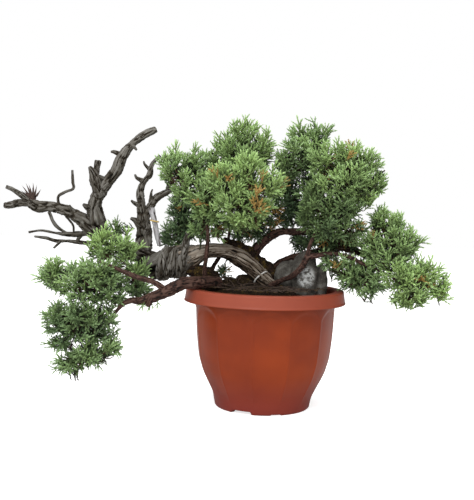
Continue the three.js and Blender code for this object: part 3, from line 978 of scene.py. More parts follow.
# ---------------------------------------------------------------- pot
@dataclass
class Pot:
    """The moulded pot: bell-shaped wall with twelve arched panels, turned-down rim, foot ring."""

    height: float = 0.183
    rim_top: float = 0.122
    rim_low: float = 0.125
    rim_band: float = 0.020
    rim_skin: float = 0.0026
    mouth: float = 0.108
    foot: float = 0.073
    channel: tuple[float, float, float] = (0.031, 0.063, 0.004)
    wall: float = 0.0026
    floor: float = 0.007
    outline_step: float = 0.0022
    panels: int = 12
    first_rib: float = math.radians(-9)
    panel_depth: float = 0.0021
    arch_top: float = 0.159
    arch_rise: float = 0.020
    around: int = 360
    notches: tuple[tuple[float, float, float], ...] = (
        (-25, 25, 0.005), (17, 12, 0.0015), (95, 25, 0.005),
        (137, 12, 0.0015), (215, 25, 0.005), (257, 12, 0.0015),
    )
    drain_circle: float = 0.047
    drain_radius: float = 0.005
    drains: int = 6
    wall_line: Route = (
        (73.8, 0, 2, 1), (75.8, 0, 12, 1), (78.3, 0, 20, 1), (83.6, 0, 31, 1), (94.2, 0, 52, 1),
        (99.1, 0, 66, 1), (103.2, 0, 83, 1), (107, 0, 120, 1), (109, 0, 163, 1),
    )

    def outline(self) -> tuple[np.ndarray, np.ndarray]:
        """The half section from the middle of the underside, round the rim, to the middle of the floor.

        Returns:
            Points of radius and height, and for each whether it is on the outside of the wall.
        """
        inner, outer, depth = self.channel
        line = centreline(np.array(self.wall_line, float) * MM, 0.002)[0][:, [0, 2]]
        skirt = self.height - self.rim_band
        under = self.height - self.rim_skin
        top, low, skin = self.rim_top, self.rim_low, self.rim_skin
        before = [
            (0.002, 0), (inner - 0.003, 0), (inner, depth), (outer, depth), (outer + 0.003, 0),
            (self.foot - 0.0012, 0), (self.foot - 0.0003, 0.0008),
        ]
        rim = [
            (self.mouth + self.wall, skirt + 0.004), (self.mouth + self.wall + 0.001, under - 0.002),
            (self.mouth + self.wall + 0.003, under), (top - skin - 0.002, under), (top - skin, under - 0.002),
            (low - skin, skirt + 0.0005), (low - skin + 0.0006, skirt), (low - 0.0005, skirt),
            (low + 0.0002, skirt + 0.0006), (low, skirt + 0.0016), (low - 0.0007, skirt + 0.0026),
            (top + 0.0002, self.height - 0.0034), (top, self.height - 0.0015),
            (top - 0.0007, self.height - 0.0004), (top - 0.0018, self.height),
            (self.mouth + 0.0016, self.height), (self.mouth + 0.0004, self.height - 0.0006),
            (self.mouth - 0.0002, self.height - 0.0022),
        ]
        inside = [(r - self.wall - 0.0004, z) for r, z in line[::-3] if z > 0.014]
        floor = [
            (self.foot - self.wall - 0.001, self.floor + 0.003), (self.foot - 0.008, self.floor),
            (0.002, self.floor),
        ]
        corners = np.array([*before, *line, *rim, *inside, *floor])
        outside = np.zeros(len(corners))
        outside[len(before):len(before) + len(line)] = 1
        lengths = np.linalg.norm(np.diff(corners, axis=0), axis=1)
        parts = [
            np.linspace(0, 1, max(1, int(n / self.outline_step)), endpoint=False)[:, None] * (b - a) + a
            for a, b, n in zip(corners[:-1], corners[1:], lengths)
        ]
        flags = [np.full(len(p), min(f, g)) for p, f, g in zip(parts, outside[:-1], outside[1:])]
        return np.concatenate([*parts, corners[-1:]]), np.concatenate([*flags, [0]])

    def surface(self) -> Surface:
        """The pot's closed surface.

        The half section is turned about Z. On the outside of the wall each panel takes its depth off
        the radius, as a steep-sided hollow between ribs, under an arch. The foot's underside rises to
        a notch's height within a notch's angle, and to the floor within a drain hole's circle.

        Returns:
            The surface, facing outward.
        """
        outline, outside = self.outline()
        angle = np.linspace(0, TURN, self.around, endpoint=False)
        front = angle + math.pi / 2
        share = ((front - self.first_rib) * self.panels / TURN) % 1.0
        bow = np.sin(math.pi * share)
        r = np.repeat(outline[:, :1], self.around, axis=1)
        z = np.repeat(outline[:, 1:], self.around, axis=1)
        arch = self.arch_top - self.arch_rise * (1 - bow**0.55)
        pressed = smoothstep(0.001, -0.006, z - arch) * smoothstep(0.010, 0.030, z)
        r = r - self.panel_depth * bow**0.5 * pressed * outside[:, None]
        for middle, width, height in self.notches:
            off = np.abs((np.degrees(front) - middle + 180) % 360 - 180)
            lift = height * smoothstep(width / 2 + 1, width / 2 - 1, off)
            foot = (r > self.channel[1] - 0.001) & (z < height) & (z < self.floor - 0.001)
            z = np.where(foot, np.maximum(z, lift), z)
        x, y = r * np.cos(angle), r * np.sin(angle)
        for k in range(self.drains):
            turn = k * TURN / self.drains
            away = np.hypot(x - self.drain_circle * math.cos(turn), y - self.drain_circle * math.sin(turn))
            below = z < self.floor - 0.002
            inside = smoothstep(self.drain_radius, self.drain_radius - 0.001, away)
            sunk = self.channel[2] + (self.floor - 0.0006 - self.channel[2]) * inside
            z = np.where(below & (away < self.drain_radius), np.maximum(z, sunk), z)
        rings = np.stack([x, y, z], axis=-1)
        return shell(rings, np.array([0, 0, 0.0]), np.array([0, 0, self.floor]))

    def build(self) -> None:
        """Makes the pot."""
        self.surface().piece("flower_pot", Slot.POT, PotPlastic().build(), ["pot"])


# ---------------------------------------------------------------- ground
@dataclass
class Ground:
    """The root ball's crumbly top, its mounds, the litter on it and one pale pebble."""

    radius: float = 0.1036
    edge: float = 0.1695
    crown: float = 0.1735
    roughness: float = 0.0016
    sticks: int = 330
    needles: int = 420
    seed: int = 5
    mounds: Route = (
        (-30, 8, 172, 56, 16), (-54, 2, 176, 24, 20), (-33, 10, 186, 17, 16), (-78, -6, 172, 20, 10),
        (18, -8, 170, 44, 12), (-20, -44, 170, 40, 9),
    )

    def height(self, x: np.ndarray, y: np.ndarray) -> np.ndarray:
        """Height of the soil: a low crown with crumbs of two sizes, lower at the pot's wall.

        Args:
            x: where to read it.
            y: where to read it.

        Returns:
            The height in metres.
        """
        here = np.stack([x, y, 0 * x], axis=-1)
        away = np.hypot(x, y) / self.radius
        slope = self.edge + (self.crown - self.edge) * (1 - away**2)
        crumbs = fractal(here, 95, 3, self.seed) * 1.2 + fractal(here, 420, 2, self.seed + 4) * 0.8
        return slope + crumbs * self.roughness * smoothstep(1.0, 0.95, away)

    def mound_height(self, x: np.ndarray, y: np.ndarray) -> np.ndarray:
        """Height of the ground with its mounds: the highest of the soil and each mound's dome.

        Args:
            x: where to read it.
            y: where to read it.

        Returns:
            The height in metres.
        """
        top = self.height(x, y)
        for cx, cy, cz, wide, tall in np.array(self.mounds, float) * MM:
            away = ((x - cx) / wide) ** 2 + ((y - cy) / (wide * 1.25)) ** 2
            top = np.maximum(top, cz + tall * np.sqrt(np.clip(1 - away, 0, 1)) * (away < 1))
        return top

    def soil(self) -> Surface:
        """The root ball: its top follows the height, its side and underside are plain inside the pot.

        Returns:
            The surface.
        """
        angle = np.linspace(0, TURN, 300, endpoint=False)[None, :]
        side = np.array([[0.055, 0.0078], [0.0605, 0.013], [0.086, 0.052], [0.0955, 0.083], [0.1025, 0.15]])
        out = np.linspace(1, 0.01, 110)[:, None] * self.radius
        x, y = out * np.cos(angle), out * np.sin(angle)
        top = np.stack([x, y, self.height(x, y)], axis=-1)
        around = side[:, :1] * np.cos(angle), side[:, :1] * np.sin(angle)
        low = np.stack([*around, side[:, 1:] + 0 * angle], axis=-1)
        rings = np.concatenate([low, top])
        return shell(rings, np.array([0, 0, 0.0078]), np.array([0, 0, self.crown]))

    def moss(self) -> Surface:
        """The mounds: flattened balls, roughened by fractal noise that is strongest on top.

        Returns:
            One surface of six closed shells.
        """
        parts = []
        for k, (cx, cy, cz, wide, tall) in enumerate(np.array(self.mounds, float) * MM):
            centre = np.array([cx, cy, cz])
            rings = ball(centre, np.array([wide, wide * 1.2, tall]), 46)
            bump = fractal(rings, 120, 4, self.seed + k) * 0.0032 + ridged(rings, 260, 2, k) * 0.0016
            rings[..., 2] += bump * smoothstep(-0.2, 0.4, (rings[..., 2] - cz) / tall)
            poles = centre - [0, 0, tall], centre + [0, 0, tall]
            parts.append(shell(rings, *poles))
        return Surface.joined(parts)

    def strewn(self, count: int, length: tuple[float, float], thick: tuple[float, float], lift: float,
               seed: int) -> Surface:
        """Bent rods strewn over the ground.

        Args:
            count: how many.
            length: shortest and longest.
            thick: thinnest and thickest radius.
            lift: how far the middle may bow up off the ground, as a share of length.
            seed: which pattern.

        Returns:
            The rods that stay inside the pot.
        """
        rng = np.random.default_rng(seed)
        away = self.radius * 0.97 * np.sqrt(rng.random(count))
        turn = rng.random(count) * TURN
        head = rng.random(count) * TURN
        long = length[0] + (length[1] - length[0]) * rng.random(count) ** 2
        start = np.stack([away * np.cos(turn), away * np.sin(turn)], axis=1)
        end = start + np.stack([np.cos(head), np.sin(head)], axis=1) * long[:, None]
        keep = np.hypot(*end.T) < self.radius * 0.98
        start, end, long = start[keep], end[keep], long[keep]
        aside = rng.normal(size=(len(start), 2)) * long[:, None] * 0.2
        middle = (start + end) / 2 + aside
        radius = thick[0] + (thick[1] - thick[0]) * rng.random(len(start)) ** 2
        raised = rng.random(len(start)) * lift * long

        def on_ground(flat: np.ndarray, above: np.ndarray) -> np.ndarray:
            """Lifts points onto the ground.

            Args:
                flat: their places in plan.
                above: how far over the ground each is.

            Returns:
                The points in space.
            """
            return np.column_stack([flat, self.mound_height(*flat.T) + above])

        tip = raised * rng.random(len(start))
        return rods(on_ground(start, radius), on_ground(middle, radius + raised), on_ground(end, tip),
                    radius, radius * 0.5)

    def build(self) -> None:
        """Makes the soil, mounds, litter and pebble."""
        soil = GroundFinish(
            "dark_soil", (0.0015, 0.001, 0.0008), (0.007, 0.004, 0.003), (0.034, 0.022, 0.016))
        moss = GroundFinish(
            "moss_and_peat", (0.003, 0.0015, 0.001), (0.014, 0.008, 0.004), (0.080, 0.058, 0.018), 520)
        stick = FibreFinish("dry_twigs", (0.010, 0.005, 0.003), (0.085, 0.052, 0.034), 0.85)
        straw = FibreFinish("dry_needles", (0.050, 0.028, 0.012), (0.20, 0.13, 0.06), 0.8)
        self.soil().piece("root_ball", Slot.SOIL, soil.build(), ["soil"])
        self.moss().piece("moss_mounds", Slot.MOSS, moss.build(), ["moss_mound"])
        sticks = self.strewn(self.sticks, (0.010, 0.048), (0.0004, 0.0013), 0.16, 21)
        sticks.piece("fallen_twigs", Slot.SOIL, stick.build(), [])
        needles = self.strewn(self.needles, (0.004, 0.012), (0.0002, 0.0004), 0.25, 22)
        needles.piece("fallen_needles", Slot.SOIL, straw.build(), [])
        Stone("pebble", Slot.PALE_STONE, ("pebble",), lump_scale=300, lump=0.05, rows=28).build()


# ---------------------------------------------------------------- stones
@dataclass
class Stone:
    """One stone, as large as its CAD solid, with broad facets, pits and, on some, a quartz face."""

    name: str
    slot: Slot
    nodes: tuple[str, ...]
    lump_scale: float = 55
    lump: float = 0.16
    quartz: "tuple[float, float, float, float] | None" = None
    seed: int = 0
    rows: int = 72

    def build(self) -> None:
        """Makes the stone.

        A ball stretched to the solid's box, its radius scaled by one plus folded noise, which gives
        edges and hollows, and by fine noise. The quartz share is a soft ball about its centre.
        """
        low, high = (np.array(corner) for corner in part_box(self.nodes[0]))
        centre, half = (low + high) / 2, (high - low) / 2
        rings = ball(np.zeros(3), half, self.rows)
        rough = ridged(rings + centre, self.lump_scale, 3, self.seed) - 0.62
        fine = fractal(rings + centre, 380, 3, self.seed + 3)
        rings = rings * (1 + self.lump * rough * 1.8 + 0.02 * fine)[..., None] + centre
        quartz = np.zeros(rings.shape[:2])
        if self.quartz:
            *middle, reach = self.quartz
            away = np.linalg.norm((rings - np.array(middle)) * [1, 0.6, 0.8], axis=-1)
            quartz = smoothstep(reach, reach * 0.55, away)
        finish = PebbleFinish().build() if self.slot is Slot.PALE_STONE else StoneFinish().build()
        surface = shell(rings, rings[0].mean(axis=0), rings[-1].mean(axis=0), {"quartz": quartz})
        surface.piece(f"{self.name}_stone", self.slot, finish, self.nodes)


# ---------------------------------------------------------------- wood
@dataclass(frozen=True)
class WoodPiece:
    """A named piece of wood: its routes, its CAD nodes, and how its surface is shaped and finished."""

    name: str
    nodes: tuple[str, ...]
    routes: tuple[Route, ...]
    slot: Slot = Slot.DEAD_WOOD
    wood: Wood = Wood()
    around: int = 44
    ring_step: float = 0.0018
    ragged: float = 0.5

    def build(self, finish: bpy.types.Material) -> None:
        """Makes the piece from its limbs, each with a pattern of its own.

        Args:
            finish: the material.
        """
        parts = []
        for k, route in enumerate(self.routes):
            wood = replace(self.wood, seed=self.wood.seed + 7 * k)
            parts.append(Limb(route, wood, self.ring_step, self.around, self.ragged).surface())
        Surface.joined(parts).piece(self.name, self.slot, finish, self.nodes)


# ---------------------------------------------------------------- routes of the limbs
OLD_TRUNK = (
    (25, 8, 174, 12.5), (9, 7, 189, 11.5), (-7, 6, 202, 11.5), (-24, 5, 217.5, 12),
    (-42, 4, 230, 12), (-61, 2, 238, 11.5), (-81, 0, 240, 11.5), (-98, -2, 237, 12),
    (-112, -2, 231, 16), (-129, 0, 225, 20.5), (-146, 2, 218, 23), (-164, 4, 214, 22),
    (-182, 8, 218, 18), (-195, 12, 230, 15), (-199, 14, 245, 13.5),
)
BURL_SPIKE = ((-129, 0, 232, 9), (-124, -2, 254, 5), (-122, -2, 266, 2.5))
TRUNK_RIB = (
    (16, -2, 182, 5), (1, -3, 196, 5), (-15, -5, 210, 5.5), (-33, -8, 224, 6), (-52, -9, 234, 5.5),
    (-72, -9, 238, 5), (-92, -10, 236, 5), (-114, -14, 228, 6), (-134, -16, 218, 7), (-152, -14, 208, 7),
)
BURL_FOLDS = (
    ((-122, -14, 246, 4), (-126, -20, 232, 6), (-130, -20, 214, 7), (-134, -12, 202, 5)),
    ((-138, -14, 240, 4), (-142, -20, 224, 7), (-148, -18, 206, 7), (-152, -8, 197, 4)),
    ((-158, -10, 234, 4), (-160, -18, 218, 7), (-164, -14, 204, 6), (-168, -4, 197, 4)),
)
LIVE_TRUNK = (
    (35, 18, 173, 13.5), (20, 16, 190, 12), (6, 16, 206, 12.5), (-9, 16, 218, 12.5),
    (-25, 16, 230, 12), (-39, 16, 241, 11), (-55, 16, 249, 8.5), (-67, 14, 257, 4),
)
SURFACE_ROOTS = (
    ((22, -4, 182, 9), (34, -26, 178, 6), (52, -44, 175, 4), (72, -58, 173, 2)),
    ((8, -6, 184, 8), (4, -30, 180, 5), (-8, -52, 177, 3.5), (-14, -72, 174, 1.6)),
    ((30, 22, 182, 9), (52, 34, 178, 6), (74, 40, 174, 3.4), (88, 38, 171, 1.6)),
    ((12, 26, 182, 8), (4, 50, 178, 5), (-10, 70, 173, 2.4)),
    ((-60, -8, 180, 3), (-36, -24, 183, 2.6), (-14, -40, 181, 2.2), (12, -52, 178, 1.6)),
)
ROOT_SPUR = ((-82, 0, 188, 13), (-100, -4, 201, 12), (-118, -6, 212, 10))
ROOT_CROWN = ((-78, 2, 160, 17), (-80, 0, 178, 18), (-86, -2, 194, 15), (-92, -5, 208, 10))

DEAD_TALL = (
    (-256, 14, 255.5, 10.5), (-266, 8, 272.5, 13.5), (-269, 2, 300.5, 12), (-262, -2, 322.5, 10),
    (-249, -4, 340.5, 9.3), (-235, -6, 358.5, 9), (-227, -4, 379.5, 7.8), (-214, 0, 399.5, 6.2),
    (-198, 6, 414.5, 5.5), (-178, 12, 425.5, 4.7),
)
DEAD_TALL_STUB = (
    (-260.5, -2, 321.5, 8), (-265.5, -10, 342.5, 9), (-269.5, -14, 354.5, 6.5),
    (-274.5, -16, 363.5, 3.2),
)
DEAD_TALL_FINGER = ((-266.5, -6, 345.5, 5), (-266, -4, 361.5, 4.6), (-265, -2, 373.5, 5))
DEAD_BRIDGE = (
    (-262, 12, 263, 7.5), (-246, 12, 257, 6), (-234, 14, 246, 6), (-221, 16, 232, 7.2), (-200, 14, 224, 9),
)
DEAD_ARM = (
    (-261.5, 8, 256, 11), (-285.5, 0, 280, 11), (-299.5, -6, 289, 9), (-319.5, -8, 297, 7.5),
    (-337.5, -6, 301, 7), (-356.5, -4, 301, 8.2), (-368.5, -6, 306, 6.2),
)
DEAD_ARM_UPPER = (
    (-365, -6, 304, 4.8), (-382, -12, 318, 3.7), (-394, -16, 326, 3), (-403, -18, 330, 2.4),
)
DEAD_ARM_LOWER = ((-365, -6, 305, 6.2), (-386, 0, 306, 5.5), (-403, 4, 302, 4.7), (-412, 6, 301, 4))
DEAD_SWITCH = (
    (-322, -8, 300, 2.8), (-324, -12, 316, 2.4), (-313, -14, 324, 2.3), (-300, -14, 330, 2.1),
    (-301, -14, 341, 1.9), (-302, -14, 358, 1.5),
)
LOW_TWIGS = (
    (
        (-370, -8, 260.5, 1.6), (-352, -4, 263.5, 1.8), (-332, 0, 260.5, 2.2),
        (-313, 4, 258.5, 3.5), (-293, 6, 259.5, 4.2), (-278, 10, 260.5, 3.8),
    ),
    (
        (-364, 4, 253.5, 1.7), (-347, 6, 251.5, 2.4), (-330, 8, 247.5, 2.6),
        (-311, 10, 247.5, 2.8), (-283, 12, 245.5, 2.8), (-262, 14, 249.5, 3.2),
    ),
    ((-333, 2, 236.5, 1.6), (-323, 8, 247.5, 2.2)),
    ((-339, -6, 292.5, 2.6), (-334, -2, 278.5, 2.4), (-326, 0, 268.5, 2.4), (-312, 4, 259.5, 2.6)),
    ((-313, -4, 286.5, 1.6), (-303, 0, 273.5, 1.6), (-302, 4, 260.5, 1.6)),
    ((-299, 10, 245.5, 3.2), (-292, 8, 256.5, 3.5), (-280, 6, 266.5, 3.6)),
)
DEAD_RIGHT = (
    (-194, 14, 241.5, 14), (-192, 12, 257.5, 12.6), (-193, 8, 276.5, 11), (-195, 4, 296.5, 8.6),
    (-197, 2, 313.5, 6.2), (-198, 0, 330.5, 5), (-192, -2, 343.5, 4.8), (-184, -2, 354.5, 4.7),
    (-182, 0, 367.5, 3.1), (-177, 2, 376.5, 2.6), (-169, 4, 384.5, 2.1),
)
DEAD_RIGHT_FORK = (
    (-193, 6, 283, 7.2), (-186, 4, 300, 6.6), (-179, 0, 309, 6.2), (-170, -4, 320, 5.3),
    (-156, -8, 328, 4.1), (-141, -10, 336, 3.1),
)
DEAD_RIGHT_TWIG = ((-156, -8, 328, 3.1), (-151, -10, 344, 2.8), (-147, -12, 356, 2.2))
DEAD_SPURS = (
    ((-251, -4, 342, 5), (-258, -12, 348, 3.4), (-262, -16, 351, 2)),
    ((-228, -4, 383, 5), (-238, -8, 388, 3), (-243, -10, 388, 1.8)),
    ((-216, 0, 400, 4), (-208, -6, 396, 2.6), (-204, -8, 392, 1.6)),
    ((-271, 2, 296, 8), (-281, -8, 303, 4), (-285, -10, 306, 2)),
    ((-300, -6, 291, 6), (-304, -14, 300, 3.2), (-305, -16, 304, 1.8)),
)
RIGHT_SPURS = (
    ((-199, 4, 306, 5), (-208, -2, 311, 2.6), (-211, -4, 314, 1.6)),
    ((-195, -2, 345, 3.4), (-203, -6, 349, 2.2), (-206, -6, 354, 1.4)),
    ((-186, 0, 364, 2.6), (-192, -4, 371, 1.8), (-193, -4, 375, 1.2)),
    ((-181, 0, 313, 4.4), (-180, -6, 326, 2), (-178, -8, 332, 1.2)),
    ((-190, 6, 262, 6), (-184, 0, 272, 3), (-182, -2, 277, 1.8)),
    ((-197, 8, 276, 8), (-207, 2, 284, 3.4), (-212, 0, 286, 2)),
)
BARK_STRIP = (
    (-182, 2, 307, 3.8), (-179, 0, 298, 4.6), (-175, 0, 283, 4.2), (-172, 2, 266, 4), (-167, 4, 245, 3),
)

BRANCH_LEFT = (
    (-72, -22, 192, 9.2), (-95, -46, 193.4, 9.1), (-121, -65, 193, 9), (-143, -70, 182, 8.8),
    (-166, -68, 171, 7.6), (-184, -66, 165, 6.2), (-200, -64, 165, 4.5), (-214, -60, 156, 3.1),
    (-227, -56, 140, 2.4), (-241, -50, 120, 1.8),
)
BRANCH_LEFT_STUB = ((-166, -70, 171, 3.8), (-171, -80, 160, 3.5))
BRANCH_LEFT_SIDE = (
    (-144, -70, 181, 4.6), (-165, -76, 195, 4), (-187, -80, 201, 3.8), (-205, -80, 208, 3.4),
    (-225, -76, 215, 2.6), (-245, -72, 222, 1.9),
)
STEM_FRONT = (
    (-90, -16, 190, 3.9), (-93, -28, 210, 3.3), (-91, -34, 226, 3.1), (-89, -36, 248, 2.9),
    (-89, -34, 268, 2.5), (-92, -30, 290, 2.1),
)
STEM_BACK = (
    (-86, 12, 188, 4.7), (-84, 22, 209, 3.6), (-77, 28, 223, 3), (-67, 32, 239, 2.6), (-61, 32, 255, 2.5),
    (-58, 28, 275, 2.3), (-55, 22, 300, 2),
)
BRANCH_UPPER = (
    (-26, 20, 226, 10.8), (-13, 24, 246, 8.4), (-1, 28, 258, 7.6), (12, 30, 266.5, 6.4),
    (26, 32, 271.5, 5.6), (43, 32, 271.5, 5.4), (59, 30, 271.5, 4.9), (76, 28, 269.5, 4.4),
    (92, 26, 263.5, 4.1), (111, 24, 257.5, 3.6), (135, 20, 248.5, 3), (156, 16, 241.5, 2.5),
)
BRANCH_BACK = (
    (-4, 26, 204, 6.6), (13, 34, 213, 6), (25, 40, 221, 6.1), (39, 42, 228, 5.6), (52, 42, 233, 4.7),
    (67, 38, 239, 4.3), (86, 32, 242, 4), (104, 26, 245, 3.6), (124, 22, 246, 3.3), (144, 16, 240, 3),
    (165, 10, 231, 2.4), (190, 4, 223, 1.9),
)
BRANCH_FRONT = (
    (8, -10, 188, 4.2), (26, -26, 199, 3.6), (37, -34, 204, 3.8), (47, -39, 212, 4.2), (56, -40, 223, 4.5),
    (63, -40, 236, 4.6), (77, -36, 238, 3.8), (90, -34, 241, 3.3), (109, -34, 241, 3), (127, -34, 237, 2.8),
    (148, -34, 227, 2.5), (172, -34, 218, 2.1), (197, -34, 205, 1.8),
)
BRANCH_RISER = (
    (62, -40, 234, 3.8), (65, -40, 252, 2.9), (70, -38, 265, 2.7), (77, -36, 275, 2.6), (83, -32, 287, 2.3),
    (95, -28, 301, 2.1), (107, -24, 317, 1.8),
)

DRIFTWOOD = Wood(groove_depth=0.36, grooves=2.3, stretch=0.26, twist=9, lump=0.34, lump_scale=46, fine=0.13)
GNARLED = Wood(groove_depth=0.42, stretch=0.3, twist=45, lump=0.30, lump_scale=40, fine=0.1, seed=81)
FLUTED = Wood(groove_depth=0.38, grooves=2.7, twist=8, lump=0.22, fine=0.07, seed=3)
THIN_DEAD = Wood(groove_depth=0.22, grooves=1.5, lump=0.34, lump_scale=70, fine=0.12)
STRINGY = Wood(groove_depth=0.20, grooves=2.6, stretch=0.35, twist=3, lump=0.16, lump_scale=80, fine=0.10)
SHAGGY = Wood(groove_depth=0.15, grooves=2.4, stretch=0.9, twist=2, lump=0.26, lump_scale=90, fine=0.20)

DEAD_WOOD_PIECES = (
    WoodPiece(
        "tall_dead_limb", ("dead_limb_tall",),
        (DEAD_TALL, DEAD_TALL_STUB, DEAD_TALL_FINGER, DEAD_BRIDGE, *DEAD_SPURS[:4]),
        wood=DRIFTWOOD, around=64,
    ),
    WoodPiece(
        "left_dead_limb", ("dead_limb_left",),
        (DEAD_ARM, DEAD_ARM_UPPER, DEAD_ARM_LOWER, DEAD_SPURS[4]),
        wood=replace(DRIFTWOOD, seed=40), around=56,
    ),
    WoodPiece(
        "right_dead_limb", ("dead_limb_right",),
        (DEAD_RIGHT, DEAD_RIGHT_FORK, DEAD_RIGHT_TWIG, *RIGHT_SPURS),
        wood=replace(DRIFTWOOD, seed=60), around=60,
    ),
    WoodPiece(
        "trunk_burl", ("trunk",), (OLD_TRUNK[7:], BURL_SPIKE, *BURL_FOLDS),
        wood=GNARLED, around=110, ring_step=0.0014,
    ),
    WoodPiece("dead_switch_shoot", ("dead_switch",), (DEAD_SWITCH,), wood=THIN_DEAD, around=20),
    WoodPiece("low_dead_twigs", ("dead_twigs_low",), LOW_TWIGS, wood=THIN_DEAD, around=22),
)
TRUNK_PIECES = (
    WoodPiece(
        "trunk_deadwood", ("trunk",), (OLD_TRUNK[:10], TRUNK_RIB),
        wood=FLUTED, around=110, ring_step=0.0014,
    ),
)
BLEACHED_PIECES = (
    WoodPiece(
        "bark_strip_bleached", ("bark_strip",), (BARK_STRIP,), Slot.BLEACHED,
        wood=Wood(groove_depth=0.3, grooves=1.6, lump=0.2, seed=9), around=40, ring_step=0.0014,
    ),
)
MOSSY_PIECES = (
    WoodPiece(
        "trunk_live_bark", (), (LIVE_TRUNK,), Slot.LIVE_BARK,
        wood=replace(SHAGGY, seed=15), around=90, ring_step=0.0016,
    ),
    WoodPiece(
        "surface_roots", (), SURFACE_ROOTS, Slot.LIVE_BARK,
        wood=replace(SHAGGY, lump=0.2, seed=18), around=36, ring_step=0.002,
    ),
    WoodPiece(
        "live_root_crown", ("root_crown",), (ROOT_CROWN, ROOT_SPUR), Slot.LIVE_BARK,
        wood=replace(SHAGGY, seed=25), around=80, ring_step=0.0018,
    ),
)
LIVE_PIECES = tuple(
    WoodPiece(name, (node,), routes, Slot.LIVE_BARK, wood, around)
    for name, node, routes, wood, around in (
        ("left_branch", "branch_left", (BRANCH_LEFT, BRANCH_LEFT_STUB), STRINGY, 56),
        ("left_side_branch", "branch_left_side", (BRANCH_LEFT_SIDE,), STRINGY, 36),
        ("front_stem", "stem_front", (STEM_FRONT,), STRINGY, 32),
        ("back_stem", "stem_back", (STEM_BACK,), STRINGY, 32),
        ("upper_branch", "branch_upper", (BRANCH_UPPER,), STRINGY, 48),
        ("back_branch", "branch_back", (BRANCH_BACK,), replace(STRINGY, lump=0.26), 44),
        ("front_branch", "branch_front", (BRANCH_FRONT,), STRINGY, 36),
        ("riser_branch", "branch_riser", (BRANCH_RISER,), STRINGY, 30),
    )
)


@dataclass(frozen=True)
class ShootFan:
    """The fan of thin reddish dead shoots at the end of the left dead limb."""

    root: tuple[float, float, float] = (-366, -6, 308)
    tips: Route = (
        (-381, -12, 333), (-376, -8, 337), (-370, -12, 335), (-365, -6, 338),
        (-358, -10, 334), (-352, -8, 328), (-384, -6, 325), (-367, -2, 330),
        (-374, -2, 331), (-358, -4, 323), (-377, -14, 324), (-362, -14, 326),
    )
    thick: float = 0.0032
    point: float = 0.0000022
    bow: tuple[float, float, float] = (0.002, 0, 0.001)

    def build(self) -> None:
        """Makes the shoots: slightly bowed rods from one root, each tapering to a point at its tip."""
        tips = np.array(self.tips) * MM
        count = len(tips)
        starts = np.repeat(np.array(self.root)[None] * MM, count, axis=0)
        bends = (starts + tips) / 2 + np.array(self.bow)
        finish = FibreFinish("red_dead_shoots", (0.022, 0.012, 0.009), (0.095, 0.055, 0.040), 0.85)
        made = rods(starts, bends, tips, np.full(count, self.thick), np.full(count, self.point), 8, 8)
        made.piece("dead_shoot_fan_twigs", Slot.DEAD_WOOD, finish.build(), ["dead_shoot_fan"])


# ---------------------------------------------------------------- ties
@dataclass(frozen=True)
class Tie:
    """A closed loop of cord about a limb."""

    name: str
    nodes: tuple[str, ...]
    slot: Slot
    centre: tuple[float, float, float]
    along: tuple[float, float, float]
    radius: float
    cord: float
    around: int = 160
    section: int = 14

    def build(self, finish: bpy.types.Material) -> None:
        """Makes the loop.

        A ring of round section, slightly wavy, turned so that its axis points along the limb.

        Args:
            finish: the material.
        """
        a = np.linspace(0, TURN, self.around, endpoint=False)[:, None]
        b = np.linspace(0, TURN, self.section, endpoint=False)[None, :]
        reach = (self.radius + self.cord * np.cos(b)) * MM
        wave = 1 + 0.012 * np.sin(5 * a) + 0.008 * np.sin(11 * a)
        flat = [reach * np.cos(a) * wave, reach * np.sin(a) * wave, self.cord * MM * np.sin(b) + 0 * a]
        turn = np.array(Vector((0, 0, 1)).rotation_difference(Vector(self.along)).to_matrix())
        points = np.stack(flat, axis=-1) @ turn.T + np.array(self.centre) * MM
        i, j = np.meshgrid(np.arange(self.around), np.arange(self.section), indexing="ij")
        row, following = i * self.section, (i + 1) % self.around * self.section
        beside = (j + 1) % self.section
        corners = [row + j, following + j, following + beside, row + beside]
        quads = np.stack(corners, axis=-1).reshape(-1, 4)
        drawn = np.broadcast_arrays(np.cos(b) * MM, np.sin(b) * MM, a * self.radius * MM)
        grain = np.stack(drawn, axis=-1).reshape(-1, 3)
        loop = Surface(points.reshape(-1, 3), quads, carried={"grain": grain})
        loop.piece(self.name, self.slot, finish, self.nodes)


WHITE_TIE = Tie(
    "white_trunk_tie", ("trunk_tie",), Slot.TIE,
    centre=(-7, 4, 199), along=(0.65, -0.35, -0.68), radius=13.4, cord=1.1,
)
RAFFIA_TIE = Tie(
    "raffia_strip_tie", ("raffia_tie",), Slot.RAFFIA,
    centre=(-175, 0, 283), along=(0.2, 0, 1), radius=6.4, cord=1.1,
)


# ---------------------------------------------------------------- foliage
@dataclass(frozen=True)
class PadStyle:
    """How one pad differs.

    Tone runs from blue-green at 0 to yellow-green at 1, partly the needles' own hue and partly painted
    shade and sunlight, lift is how much its shoots turn up, withered is the share of dead sprays, and
    shade darkens the whole pad below 1.
    """

    tone: float
    lift: float = 0.35
    withered: float = 0.004
    shade: float = 1.0
